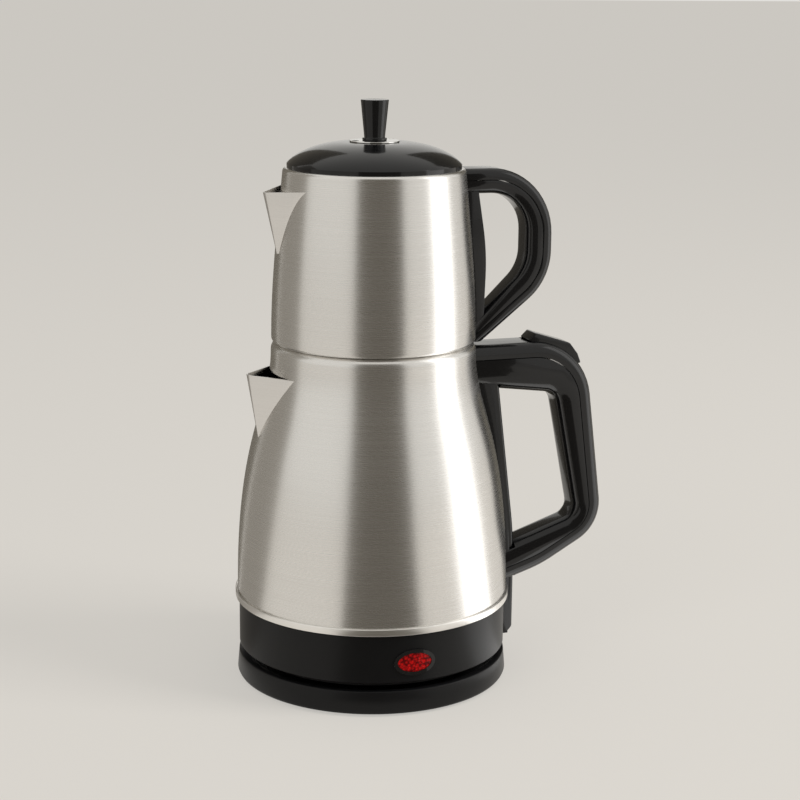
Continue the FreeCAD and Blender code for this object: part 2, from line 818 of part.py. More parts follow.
# Hollow handle in two mouldings that meet along a line inside the outer edge
def handle_forms(outer, inner, half_width, outer_round, inner_round, parting):
    bar = rounded_bar(outer, inner, half_width, outer_round, inner_round)
    hollow = rounded_bar(shifted_path(*outer, moulding), shifted_path(*inner, -moulding),
                         half_width - moulding, outer_round - moulding, inner_round - moulding)
    strip = strip_beside(*outer, -1.0, parting, half_width + 1.0)
    shell = bar.cut(hollow)
    return bar, hollow, shell.common(strip), shell.cut(strip)


# A spine as a block that runs back into the vessel; stretch lengthens both its ends
def spine_block(path, shift, half_width, stretch, inner_x):
    corners, radii = shifted_path(*path, shift)
    corners[0] = corners[0] + (corners[0] - corners[1]).normalize() * stretch
    corners[-1] = corners[-1] + (corners[-1] - corners[-2]).normalize() * stretch
    start, end = corners[0], corners[-1]
    inside_top = point(inner_x, start.z)
    inside_low = point(inner_x, end.z)
    edges = corner_path(corners, radii)
    edges += [straight(start, inside_top), straight(inside_top, inside_low), straight(inside_low, end)]
    return slab(edges, half_width)


def height_on_line(a, b, x):
    return a.z + (b.z - a.z) * (x - a.x) / (b.x - a.x)


# A welded tab that hugs the vessel, with a tongue into the handle
def bracket(grown_form, vessel_form, x_start, x_end, z, width, thickness, tab):
    half = width / 2.0
    piece = grown_form.common(block(x_start, x_end, -half, half, z - tab / 2.0, z + tab / 2.0))
    return piece.fuse(block(x_start, x_end, -half, half, z, z + thickness)).cut(vessel_form)


# Room in a spine for such a bracket
def bracket_room(grown_form, x_start, x_end, z, width, thickness, tab):
    half = width / 2.0 + handle_gap
    reach = tab / 2.0 + handle_gap
    slot = block(x_start, x_end, -half, half, z - handle_gap, z + thickness + handle_gap)
    return grown_form.common(block(x_start, x_end, -half, half, z - reach, z + reach)).fuse(slot)


# Boss, screw and holes where a handle is screwed to a tongue from below; the arm's skin runs from a to b
def screw_set(x, a, b, tongue_z, thickness, bar):
    surface_z = height_on_line(a, b, x)
    slope = abs((b.z - a.z) / (b.x - a.x))
    seat = surface_z + handle_screw_head_height + handle_screw_head_radius * slope + handle_gap
    top = tongue_z + thickness + screw_past_tongue
    below = surface_z - 2 * handle_boss_radius
    head = disc(handle_screw_head_radius, seat - handle_screw_head_height, seat, x)
    screw = head.fuse(disc(handle_screw_radius, seat, top, x))
    boss = disc(handle_boss_radius, below, tongue_z, x).common(bar)
    shank_hole = disc(handle_screw_radius + sleeve_gap, below, top, x)
    head_hole = disc(handle_screw_head_radius + sleeve_gap, below, seat, x)
    return screw, boss, [shank_hole, head_hole]


def polygon(corners, half_width):
    return slab([straight(a, b) for a, b in zip(corners, corners[1:] + corners[:1])], half_width)


# A closed outline drawn clockwise, moved outwards by a distance
def grown_outline(corners, distance):
    grown = []
    for before, here, after in zip(corners[-1:] + corners[:-1], corners, corners[1:] + corners[:1]):
        first = (here - before).normalize()
        second = (after - here).normalize()
        side_a = V(-first.z, 0, first.x)
        side_b = V(-second.z, 0, second.x)
        grown.append(here + (side_a + side_b) * (distance / (1.0 + side_a.dot(side_b))))
    return grown


# Paddle outline as offsets from its pivot: it starts at the left end and runs clockwise
paddle_outline = [(-16.4, 8.0), (-12.2, 12.0), (10.0, 4.9), (15.0, -1.6), (17.2, -7.2), (12.6, -8.6),
                  (7.5, -2.3), (-12.0, 3.8)]


def paddle_corners():
    return [point(pivot_x + x, pivot_z + z) for x, z in paddle_outline]


def pivot_rod(half_length, radius):
    return rod(V(pivot_x, -half_length, pivot_z), V(pivot_x, half_length, pivot_z), radius)


# Room that the paddle sweeps between its two ends of travel
def paddle_room():
    half = paddle_width / 2.0 + paddle_gap
    room = pivot_rod(half, pivot_boss_radius + paddle_gap)
    grown = polygon(grown_outline(paddle_corners(), paddle_gap), half)
    for step in range(3):
        turned = grown.copy()
        turned.rotate(V(pivot_x, 0, pivot_z), V(0, -1, 0), paddle_angle * step / 2.0)
        room = room.fuse(turned)
    return room


# Paddle, its pin, the plunger under it and the steam switch that the plunger works
def make_switch(hollow_half):
    half = paddle_width / 2.0
    paddle = polygon(paddle_corners(), half).fuse(pivot_rod(half, pivot_boss_radius))
    parts["switch_paddle"] = paddle.cut(pivot_rod(half + 1, pivot_radius + pivot_gap)).removeSplitter()
    parts["switch_pivot_pin"] = pivot_rod(pivot_pin_length / 2.0, pivot_radius)

    plunger_x = pivot_x - plunger_back
    corners = paddle_corners()
    underside = height_on_line(corners[7], corners[6], plunger_x + plunger_radius)
    plunger_top = underside - plunger_rest_gap
    plunger_low = plunger_top - plunger_length
    parts["switch_plunger"] = disc(plunger_radius, plunger_low, plunger_top, plunger_x)
    guide = disc(plunger_radius + pivot_gap, plunger_low - 1.4, seat_z, plunger_x)

    box_x = pivot_x - control_box_back
    box_low = control_top_z - control_box_height
    box_half = hollow_half - slide_gap
    box = block(box_x, box_x + control_box_length, -box_half, box_half, box_low, control_top_z)
    parts["switch_housing"] = box.cut(guide)
    disc_z = control_top_z - control_box_height / 2.0
    bimetal = rod(V(box_x - bimetal_thickness, 0, disc_z), V(box_x, 0, disc_z), bimetal_radius)
    parts["bimetal_disc"] = bimetal

    shift = spine_cover_depth + spine_wall + wire_radius + wire_gap
    corners, radii = shifted_path(*kettle_spine_path(), shift)
    exit_z = control_top_z - wire_exit_drop
    run_z = collar_z + wire_slot_z_in_collar
    turn_x = corners[0].x + (corners[1].x - corners[0].x) * (corners[0].z - exit_z) / (corners[0].z - corners[1].z)
    way = [point(box_x, exit_z), point(turn_x, exit_z), corners[1], point(corners[1].x, run_z),
           point(control_length / 2.0, run_z)]
    edges = corner_path(way, [wire_bend, radii[0], wire_bend])
    wires = []
    for side in (-1, 1):
        start = way[0] + V(0, side * wire_spread, 0)
        line = Part.Wire(edges)
        line.translate(V(0, side * wire_spread, 0))
        end = Part.Wire(Part.Circle(start, V(1, 0, 0), wire_radius).toShape())
        wires.append(line.makePipeShell([end], True, False))
    parts["switch_wires"] = group(wires)

    bush_in = V(neck_radius - moulding, 0, steam_z)
    flange_in = V(neck_radius + sleeve_gap, 0, steam_z)
    bush = rod(bush_in, bush_in + V(steam_bush_length, 0, 0), steam_bush_radius)
    flange = rod(flange_in, flange_in + V(sheet * 2, 0, 0), steam_bush_radius + steam_bush_flange)
    flange = flange.cut(kettle_form(-sleeve_gap))
    bore = rod(bush_in - V(1, 0, 0), bush_in + V(steam_bush_length + 1, 0, 0), steam_bush_bore)
    parts["steam_bush"] = bush.fuse(flange).cut(bore).removeSplitter()
    return guide


def kettle_spine_path():
    out_x = trim_ring_radius + spine_out
    return ([point(neck_radius + spine_top_out, seat_z - spine_top_drop),
             point(out_x, ring_top_z + spine_bend_rise),
             point(out_x, collar_z - spine_low_drop)], [spine_bend_round])


def kettle_handle_paths():
    root_x = kettle_radius + arm_root_out
    top_root_x = neck_radius - top_arm_root_in
    grip_top_x = kettle_radius + grip_top_out
    grip_low_x = kettle_radius + grip_low_out
    outer = ([point(top_root_x, handle_top_z), point(grip_top_x, handle_top_z),
              point(grip_low_x, ring_top_z + grip_low_rise),
              point(kettle_radius + arm_bend_out, ring_top_z + arm_bend_rise),
              point(root_x, ring_top_z + arm_root_rise)],
             [grip_top_round, grip_low_round, arm_bend_round])
    inner = ([point(top_root_x, handle_top_z - top_arm_depth),
              point(grip_top_x - grip_top_width, handle_top_z - hole_top_drop),
              point(grip_low_x - grip_low_width, ring_top_z + hole_low_rise),
              point(root_x, ring_top_z + hole_root_rise)],
             [hole_top_round, hole_low_round])
    return outer, inner


# Kettle handle: two shells, spine, spine cover, brackets and screws
def make_kettle_handle(collar):
    half = handle_width / 2.0
    hollow_half = half - moulding
    outer, inner = kettle_handle_paths()
    bar, hollow, outer_shell, inner_shell = handle_forms(
        outer, inner, half, handle_outer_round, handle_inner_round, handle_parting)
    inner_x = neck_radius - top_arm_root_in
    path = kettle_spine_path()
    envelope = kettle_envelope(handle_gap)
    spine_room = spine_block(path, -handle_gap, spine_width / 2.0 + handle_gap, handle_gap, inner_x)

    well = block(pivot_x - well_back, pivot_x + well_ahead, -half, half, control_top_z, seat_z)
    low_well = block(pivot_x + well_low_ahead, pivot_x + well_ahead, -half, half, pivot_z - well_low, seat_z)
    filling = hollow.common(well.fuse(low_well))
    guide = make_switch(hollow_half)
    pin_hole = pivot_rod(pivot_pin_length / 2.0 + sleeve_gap, pivot_radius + sleeve_gap)

    top_end = neck_radius + top_tongue_reach
    top_x = top_end - screw_from_end
    low_end = kettle_radius + low_tongue_reach
    low_x = low_end - screw_from_end
    top_screw, top_boss, top_holes = screw_set(
        top_x, inner[0][0], inner[0][1], top_tongue_z, tongue_thickness, bar)
    low_screw, low_boss, low_holes = screw_set(
        low_x, outer[0][4], outer[0][3], low_tongue_z, tongue_thickness, bar)
    form = kettle_form()
    grown = kettle_form(-tab_thickness)
    room = kettle_form(-tab_thickness - handle_gap)
    slots = [bracket_room(room, inner_x, end, z, tongue_width, tongue_thickness, tab_height)
             for end, z in ((top_end, top_tongue_z), (low_end, low_tongue_z))]

    outer_shell = outer_shell.fuse([filling, low_boss])
    outer_shell = outer_shell.cut([envelope, spine_room, paddle_room(), pin_hole, guide] + low_holes)
    inner_shell = inner_shell.fuse(top_boss).cut([envelope, spine_room, filling, low_boss] + top_holes)
    inner_shell = inner_shell.cut([paddle_room()] + low_holes)
    parts["handle_outer_shell"] = outer_shell
    parts["handle_inner_shell"] = inner_shell
    parts["handle_screws"] = group([top_screw, low_screw])
    for name, end_x, z, screw_x in (("handle_bracket_top", top_end, top_tongue_z, top_x),
                                    ("handle_bracket_bottom", low_end, low_tongue_z, low_x)):
        piece = bracket(grown, form, inner_x, end_x, z, tongue_width, tongue_thickness, tab_height)
        hole = disc(handle_screw_radius + sleeve_gap, z - 1, z + tongue_thickness + 1, screw_x)
        parts[name] = piece.cut(hole)

    out_x = trim_ring_radius + spine_out
    low_z = collar_z - spine_low_drop
    corner = [point(out_x + 1, low_z + spine_chamfer + 1), point(out_x + 1, low_z - 1),
              point(out_x - spine_chamfer - 1, low_z - 1)]
    chamfer = polygon(corner, half)
    channel = spine_block(path, spine_cover_depth, spine_width / 2.0, 0.0, inner_x)
    inside = spine_block(path, spine_cover_depth + spine_wall, spine_width / 2.0 - spine_wall,
                         -spine_wall, inner_x)
    wall_x = path[0][0].x - spine_cover_depth
    open_half = spine_width / 2.0 - spine_wall
    open_top = block(inner_x, wall_x, -open_half, open_half, path[0][0].z - 2 * spine_wall, seat_z)
    parts["handle_spine"] = channel.cut([inside, open_top, envelope, chamfer] + slots)
    cover = rounded_bar(path, shifted_path(*path, spine_cover_depth), spine_cover_width / 2.0,
                        spine_cover_round, 0.0)
    parts["spine_cover"] = cover.cut([chamfer] + slots)

    slot_z = collar_z + wire_slot_z_in_collar
    slot_half = wire_slot_width / 2.0
    wire_slot = block(collar_radius - collar_wall * 3, collar_radius + 1, -slot_half, slot_half,
                      slot_z - wire_slot_height / 2.0, slot_z + wire_slot_height / 2.0)
    return collar.cut(wire_slot)


# Teapot body with its strainer, its nested bottom pan and its spout
def make_teapot():
    low_z = seat_z + teapot_spout_low
    rim_z = seat_z + teapot_spout_rim
    outer, inner = spout_forms(teapot_radius_at, low_z, rim_z, teapot_spout_reach,
                               teapot_spout_half_angle, teapot_spout_tip_round, teapot_spout_tip_drop)
    pan_r = mouth_radius - slide_gap
    lip = ring(teapot_mouth_radius, teapot_mouth_radius + sheet, teapot_top_z - teapot_lip_depth, teapot_top_z)
    body = teapot_form().cut(teapot_form(sheet))
    body = body.cut(disc(pan_r + sleeve_gap, seat_z - 1, seat_z + 1))
    body = body.cut(disc(teapot_mouth_radius, teapot_top_z - teapot_lip_depth, teapot_top_z + 1)).fuse(lip)
    holes = []
    spread = teapot_radius * math.sin(math.radians(teapot_spout_half_angle)) - 2 * strainer_pitch
    rows = int((rim_z - low_z) / strainer_pitch) - 1
    for row in range(2, rows):
        z = low_z + row * strainer_pitch
        each_side = int(spread * (z - low_z) / (rim_z - low_z) / strainer_pitch)
        for column in range(-each_side, each_side + 1):
            y = column * strainer_pitch
            holes.append(rod(V(-teapot_spout_reach, y, z), V(-teapot_radius / 2.0, y, z), strainer_hole_radius))
    parts["teapot_body"] = body.cut(holes).removeSplitter()
    parts["teapot_spout"] = outer.cut([inner, teapot_form()])
    pan_low = seat_z - nest_depth
    floor_z = seat_z + sheet
    parts["teapot_bottom"] = revolved_outline(
        (0, pan_low), (pan_r, pan_low), (pan_r, floor_z), (pan_r + nest_flange, floor_z),
        (pan_r + nest_flange, floor_z + sheet), (pan_r - sheet, floor_z + sheet),
        (pan_r - sheet, pan_low + sheet), (0, pan_low + sheet))


def teapot_handle_paths():
    top_z = teapot_top_z - teapot_handle_top_drop
    grip_x = teapot_radius + teapot_grip_out
    elbow_z = teapot_top_z - teapot_elbow_drop
    root_x = teapot_radius
    drop = (grip_x - root_x) * math.tan(math.radians(teapot_arm_slope))
    outer = ([point(teapot_mouth_radius, top_z), point(grip_x, top_z), point(grip_x, elbow_z),
              point(root_x, elbow_z - drop)], [teapot_grip_round, teapot_elbow_round])
    hole_x = grip_x - teapot_grip_depth
    hole_top = top_z - teapot_arm_depth
    hole_z = teapot_top_z - teapot_hole_elbow_drop
    hole_drop = (hole_x - root_x) * math.tan(math.radians(teapot_hole_slope))
    inner = ([point(teapot_mouth_radius, hole_top), point(hole_x, hole_top), point(hole_x, hole_z),
              point(root_x, hole_z - hole_drop)], [teapot_hole_round, teapot_hole_round])
    return outer, inner


def teapot_spine_path():
    return ([point(teapot_top_radius + teapot_spine_top_out, teapot_top_z - teapot_spine_top_drop),
             point(teapot_radius + teapot_spine_mid_out, seat_z + teapot_spine_mid_rise),
             point(teapot_radius + teapot_spine_low_out, seat_z + teapot_spine_low_rise)],
            [teapot_spine_bend])


# Teapot handle: two shells, spine, brackets and screws
def make_teapot_handle():
    half = teapot_handle_width / 2.0
    outer, inner = teapot_handle_paths()
    bar, hollow, outer_shell, inner_shell = handle_forms(
        outer, inner, half, teapot_outer_round, teapot_inner_round, teapot_parting)
    inner_x = teapot_mouth_radius
    path = teapot_spine_path()
    envelope = teapot_form(-handle_gap)
    spine_room = spine_block(path, -handle_gap, teapot_spine_width / 2.0 + handle_gap, handle_gap, inner_x)
    below = block(0, teapot_radius * 2, -half - 1, half + 1, ring_z, seat_z - teapot_handle_low_drop)
    top_end = teapot_top_radius + teapot_top_tongue_reach
    top_x = top_end - screw_from_end
    low_end = teapot_radius + teapot_low_tongue_reach
    low_x = low_end - screw_from_end
    thickness = teapot_tongue_thickness
    top_screw, top_boss, top_holes = screw_set(
        top_x, inner[0][0], inner[0][1], teapot_top_tongue_z, thickness, bar)
    low_screw, low_boss, low_holes = screw_set(
        low_x, outer[0][3], outer[0][2], teapot_low_tongue_z, thickness, bar)
    form = teapot_form()
    grown = teapot_form(-tab_thickness)
    room = teapot_form(-tab_thickness - handle_gap)
    slots = [bracket_room(room, inner_x, end, z, teapot_tongue_width, thickness, teapot_tab_height)
             for end, z in ((top_end, teapot_top_tongue_z), (low_end, teapot_low_tongue_z))]
    outer_shell = outer_shell.fuse(low_boss).cut([envelope, spine_room, below] + low_holes)
    inner_shell = inner_shell.fuse(top_boss).cut([envelope, spine_room, below, low_boss] + top_holes)
    inner_shell = inner_shell.cut(low_holes + slots)
    parts["teapot_handle_outer"] = outer_shell
    parts["teapot_handle_inner"] = inner_shell
    parts["teapot_handle_screws"] = group([top_screw, low_screw])
    for name, end_x, z, screw_x in (("teapot_bracket_top", top_end, teapot_top_tongue_z, top_x),
                                    ("teapot_bracket_bottom", low_end, teapot_low_tongue_z, low_x)):
        piece = bracket(grown, form, inner_x, end_x, z, teapot_tongue_width, thickness, teapot_tab_height)
        parts[name] = piece.cut(disc(handle_screw_radius + sleeve_gap, z - 1, z + thickness + 1, screw_x))
    wall = teapot_spine_wall
    channel = spine_block(path, 0.0, teapot_spine_width / 2.0, 0.0, inner_x)
    inside = spine_block(path, wall, teapot_spine_width / 2.0 - wall, -wall, inner_x)
    parts["teapot_handle_spine"] = channel.cut([inside, envelope] + slots)


# Lid: domed cap, skirt, polished disc, knob and the screw that holds the knob
def make_lid():
    edge_z = teapot_top_z + lid_rim_height
    inner_r = lid_radius - lid_wall
    inner_z = lid_flat_z - lid_wall
    slack = lid_wall / 2.0
    dome = revolved([
        straight(point(inner_r, teapot_top_z), point(lid_radius, teapot_top_z)),
        straight(point(lid_radius, teapot_top_z), point(lid_radius, edge_z)),
        bezier(point(lid_radius, edge_z), point(lid_radius - lid_edge_lean, edge_z + lid_edge_pull),
               point(lid_flat_radius + lid_top_pull, lid_flat_z), point(lid_flat_radius, lid_flat_z)),
        straight(point(lid_flat_radius, lid_flat_z), point(0, lid_flat_z)),
        straight(point(0, lid_flat_z), point(0, inner_z)),
        straight(point(0, inner_z), point(lid_flat_radius, inner_z)),
        bezier(point(lid_flat_radius, inner_z), point(lid_flat_radius + lid_top_pull - slack, inner_z),
               point(inner_r - lid_edge_lean, edge_z + lid_edge_pull - slack), point(inner_r, edge_z)),
        straight(point(inner_r, edge_z), point(inner_r, teapot_top_z)),
    ])
    skirt_r = teapot_mouth_radius - slide_gap
    skirt_in = skirt_r - lid_wall
    skirt_low = teapot_top_z - lid_skirt_depth
    skirt_top = teapot_top_z + lid_rim_height / 2.0
    parts["lid_skirt"] = ring(skirt_in, skirt_r, skirt_low, skirt_top)

    disc_top = lid_flat_z + knob_disc_thickness
    collar_top = disc_top + knob_collar_height
    knob_top = disc_top + knob_height
    washer_low = inner_z - knob_washer_thickness
    shank_top = washer_low + knob_screw_length
    shank_room = disc(knob_screw_radius + sleeve_gap, washer_low - 1, shank_top, 0)
    vent = disc(vent_radius, inner_z - 1, disc_top + 1, -vent_circle)
    parts["lid_dome"] = dome.cut([shank_room, vent])
    parts["knob_disc"] = disc(knob_disc_radius, lid_flat_z, disc_top).cut([shank_room, vent])
    knob = revolved_outline(
        (0, disc_top), (knob_collar_radius, disc_top), (knob_collar_radius, collar_top),
        (knob_low_radius, collar_top), (knob_top_radius, knob_top - knob_top_round),
        (knob_top_radius - knob_top_round, knob_top), (0, knob_top - knob_dish))
    parts["lid_knob"] = knob.cut(shank_room)
    head_low = washer_low - knob_screw_head_height
    head = disc(knob_screw_head_radius, head_low, washer_low)
    parts["knob_screw"] = head.fuse(disc(knob_screw_radius, washer_low, shank_top))
    parts["knob_washer"] = ring(knob_screw_radius + sleeve_gap, knob_washer_radius, washer_low, inner_z)


make_base()
socket_top_z = make_coupler()
make_heater(socket_top_z)
parts["kettle_collar"] = make_kettle_handle(make_lamp(make_kettle_foot()))
make_kettle()
make_teapot()
make_teapot_handle()
make_lid()

os.makedirs("parts", exist_ok=True)
for name, shape in parts.items():
    shape.exportStep("parts/" + name + ".step")
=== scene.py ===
import math
import bpy
from mathutils import Matrix, Vector
from mathutils.geometry import interpolate_bezier


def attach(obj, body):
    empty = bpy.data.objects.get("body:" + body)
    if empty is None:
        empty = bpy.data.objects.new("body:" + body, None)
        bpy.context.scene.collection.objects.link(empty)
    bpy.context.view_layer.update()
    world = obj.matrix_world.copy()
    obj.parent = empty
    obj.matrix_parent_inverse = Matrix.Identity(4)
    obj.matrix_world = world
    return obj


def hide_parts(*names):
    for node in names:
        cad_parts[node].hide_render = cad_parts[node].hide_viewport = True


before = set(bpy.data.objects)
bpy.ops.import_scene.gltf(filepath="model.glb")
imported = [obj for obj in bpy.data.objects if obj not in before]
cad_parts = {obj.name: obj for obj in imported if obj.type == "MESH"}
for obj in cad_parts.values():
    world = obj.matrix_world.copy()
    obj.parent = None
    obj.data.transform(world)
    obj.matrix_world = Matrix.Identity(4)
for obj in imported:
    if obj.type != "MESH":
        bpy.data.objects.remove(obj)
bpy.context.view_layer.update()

# Camera: the photograph's viewing angle, from the left of the lamp's side and a little above the lid.
# A long lens at one metre, rolled half a degree as the photograph is.
camera_data = bpy.data.cameras.new("camera")
camera_data.lens = 83.29
camera_data.sensor_width = 36.0
camera = bpy.data.objects.new("camera", camera_data)
bpy.context.scene.collection.objects.link(camera)
camera_turn = (Matrix.Rotation(math.radians(-18.859), 4, "Z") @ Matrix.Rotation(math.radians(77.08), 4, "X")
               @ Matrix.Rotation(math.radians(0.55), 4, "Z"))
camera.location = (-0.32138, -0.98910, 0.4012)
camera.rotation_euler = camera_turn.to_euler()
bpy.context.scene.camera = camera
bpy.context.scene.view_settings.view_transform = "Standard"

# Studio: a plain pale table top under a pale sky, a soft key lamp from the right, and tall soft panels
# whose reflections give the steel its upright bands. Panels are seen only in reflections, and each has a
# wedge on the table in front of it, so that its band runs down to the foot of the steel.
def studio_material(name, color, strength):
    material = bpy.data.materials.new(name)
    material.use_nodes = True
    tree = material.node_tree
    tree.nodes.clear()
    glow = tree.nodes.new("ShaderNodeEmission")
    glow.inputs["Color"].default_value = (*color, 1.0)
    glow.inputs["Strength"].default_value = strength
    output = tree.nodes.new("ShaderNodeOutputMaterial")
    tree.links.new(glow.outputs[0], output.inputs["Surface"])
    return material


camera_side = 18.0
card_gap = 0.1
card_height = 0.0005


def studio_panel(name, angle, distance, width, height, color, strength):
    turn = math.radians(angle - camera_side)
    bpy.ops.mesh.primitive_plane_add(size=1.0, location=(0.0, 0.0, 0.0))
    panel = bpy.context.active_object
    panel.name = name
    panel.scale = (width, height, 1.0)
    panel.location = (math.sin(turn) * distance, -math.cos(turn) * distance, height / 2.0)
    panel.rotation_euler = (math.radians(90.0), 0.0, turn)
    card_reach = 1.0 - card_gap / distance
    bpy.ops.mesh.primitive_plane_add(size=1.0, location=(0.0, 0.0, 0.0))
    card = bpy.context.active_object
    card.name = name + "_card"
    bpy.ops.object.mode_set(mode="EDIT")
    bpy.ops.mesh.select_all(action="SELECT")
    bpy.ops.transform.resize(value=(width, distance * card_reach, 1.0))
    bpy.ops.transform.translate(value=(0.0, -distance * (2.0 - card_reach) / 2.0, card_height))
    bpy.ops.object.mode_set(mode="OBJECT")
    for corner in card.data.vertices:
        corner.co.x *= -corner.co.y / distance
    card.rotation_euler = (0.0, 0.0, turn)
    glow = studio_material(name, color, strength)
    for piece in (panel, card):
        piece.data.materials.append(glow)
        piece.visible_camera = False
        piece.visible_diffuse = False
        piece.visible_shadow = False
        piece.visible_transmission = False


def soft_lamp(name, place, size, power, in_reflections):
    lamp_data = bpy.data.lights.new(name, "AREA")
    lamp_data.shape = "SQUARE"
    lamp_data.size = size
    lamp_data.energy = power
    lamp = bpy.data.objects.new(name, lamp_data)
    bpy.context.scene.collection.objects.link(lamp)
    lamp.location = place
    lamp.rotation_euler = (Vector((0.0, 0.0, 0.15)) - Vector(place)).to_track_quat("-Z", "Y").to_euler()
    lamp.visible_glossy = in_reflections


# One for a ray that the camera, a reflection or a clear piece sends out, and nothing for light that falls
def seen_rays(tree):
    paths = tree.nodes.new("ShaderNodeLightPath")
    seen = paths.outputs["Is Camera Ray"]
    for ray in ("Is Glossy Ray", "Is Transmission Ray"):
        either = tree.nodes.new("ShaderNodeMath")
        either.operation = "MAXIMUM"
        tree.links.new(seen, either.inputs[0])
        tree.links.new(paths.outputs[ray], either.inputs[1])
        seen = either.outputs[0]
    return seen


bpy.ops.object.select_all(action="DESELECT")
bpy.ops.mesh.primitive_plane_add(size=60.0, location=(0.0, 0.0, 0.0))
table = bpy.context.active_object
table.name = "table"
table_material = bpy.data.materials.new("table")
table_material.use_nodes = True
table_shader = table_material.node_tree.nodes["Principled BSDF"]
table_shader.inputs["Base Color"].default_value = (0.74, 0.69, 0.62, 1.0)
table_shader.inputs["Roughness"].default_value = 0.8
table_shader.inputs["Specular IOR Level"].default_value = 0.0
table_tree = table_material.node_tree
table_glow = table_tree.nodes.new("ShaderNodeEmission")
table_glow.inputs["Color"].default_value = (0.78, 0.76, 0.72, 1.0)
table_share = table_tree.nodes.new("ShaderNodeMath")
table_share.operation = "MULTIPLY"
table_share.inputs[1].default_value = 0.6
table_mix = table_tree.nodes.new("ShaderNodeMixShader")
table_tree.links.new(seen_rays(table_tree), table_share.inputs[0])
table_tree.links.new(table_share.outputs[0], table_mix.inputs["Fac"])
table_tree.links.new(table_shader.outputs[0], table_mix.inputs[1])
table_tree.links.new(table_glow.outputs[0], table_mix.inputs[2])
table_tree.links.new(table_mix.outputs[0], table_tree.nodes["Material Output"].inputs["Surface"])
table.data.materials.append(table_material)

studio_panel("panel_dark_front", 7.0, 3.0, 3.1, 3.4, (0.13, 0.118, 0.10), 1.0)
studio_panel("panel_bright_right", 86.0, 2.0, 1.1, 2.6, (1.0, 0.985, 0.96), 1.75)
studio_panel("panel_dim_left", -110.0, 3.0, 2.3, 3.2, (0.28, 0.26, 0.23), 1.0)
studio_panel("panel_dim_behind_left", -152.0, 3.0, 1.9, 3.2, (0.16, 0.145, 0.12), 1.0)
studio_panel("panel_dim_behind_right", 150.0, 3.0, 1.9, 3.2, (0.12, 0.11, 0.09), 1.0)
soft_lamp("lamp_key", (1.5, -1.0, 1.7), 0.9, 26.0, False)
soft_lamp("lamp_fill", (-1.6, -1.3, 1.6), 1.4, 8.0, False)

sky = bpy.data.worlds.new("sky")
sky.use_nodes = True
sky_tree = sky.node_tree
sky_tree.nodes.clear()
sky_output = sky_tree.nodes.new("ShaderNodeOutputWorld")
sky_light = sky_tree.nodes.new("ShaderNodeBackground")
sky_light.inputs["Color"].default_value = (0.80, 0.78, 0.75, 1.0)
sky_light.inputs["Strength"].default_value = 0.55
sky_seen = sky_tree.nodes.new("ShaderNodeBackground")
sky_seen.inputs["Color"].default_value = (0.76, 0.745, 0.71, 1.0)
sky_seen.inputs["Strength"].default_value = 1.0
sky_mix = sky_tree.nodes.new("ShaderNodeMixShader")
sky_tree.links.new(seen_rays(sky_tree), sky_mix.inputs["Fac"])
sky_tree.links.new(sky_light.outputs[0], sky_mix.inputs[1])
sky_tree.links.new(sky_seen.outputs[0], sky_mix.inputs[2])
sky_tree.links.new(sky_mix.outputs[0], sky_output.inputs["Surface"])
bpy.context.scene.world = sky

# Base housing: a shallow round moulding in satin black plastic, open below, with a raised rib
# that the kettle rests on. Turned from its section, with softened edges.
mm = 0.001


def drawn_line(name, places):
    bpy.ops.object.select_all(action="DESELECT")
    bpy.ops.mesh.primitive_plane_add(size=0.01, location=(0.0, 0.0, 0.0))
    piece = bpy.context.active_object
    piece.name = name
    bpy.ops.object.mode_set(mode="EDIT")
    bpy.ops.mesh.select_mode(type="VERT")
    bpy.ops.mesh.select_all(action="SELECT")
    bpy.ops.mesh.merge(type="CENTER")
    last = Vector((0.0, 0.0, 0.0))
    for number, place in enumerate(places):
        step = (Vector(place) - last) * mm
        if number == 0:
            bpy.ops.transform.translate(value=step)
        else:
            bpy.ops.mesh.extrude_region_move(TRANSFORM_OT_translate={"value": step})
        last = Vector(place)
    return piece


def turned_piece(name, corners, steps=160):
    piece = drawn_line(name, [(x, 0.0, z) for x, z in corners])
    bpy.ops.mesh.select_all(action="SELECT")
    bpy.ops.mesh.spin(steps=steps, angle=math.tau, center=(0.0, 0.0, 0.0), axis=(0.0, 0.0, 1.0))
    bpy.ops.mesh.select_all(action="SELECT")
    bpy.ops.mesh.remove_doubles(threshold=0.00001)
    bpy.ops.mesh.normals_make_consistent(inside=False)
    bpy.ops.object.mode_set(mode="OBJECT")
    return piece


def soften_edges(piece, width, segments=3, angle=32.0):
    bpy.context.view_layer.objects.active = piece
    edge = piece.modifiers.new("edge", "BEVEL")
    edge.width = width * mm
    edge.segments = segments
    edge.limit_method = "ANGLE"
    edge.angle_limit = math.radians(angle)
    bpy.ops.object.modifier_apply(modifier="edge")


def smooth(piece, angle=32.0):
    bpy.ops.object.select_all(action="DESELECT")
    piece.select_set(True)
    bpy.context.view_layer.objects.active = piece
    bpy.ops.object.shade_smooth_by_angle(angle=math.radians(angle))


def finish_piece(piece, material, body, slot, *nodes):
    piece.data.materials.clear()
    piece.data.materials.append(material)
    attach(piece, body)
    if nodes:
        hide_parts(*nodes)


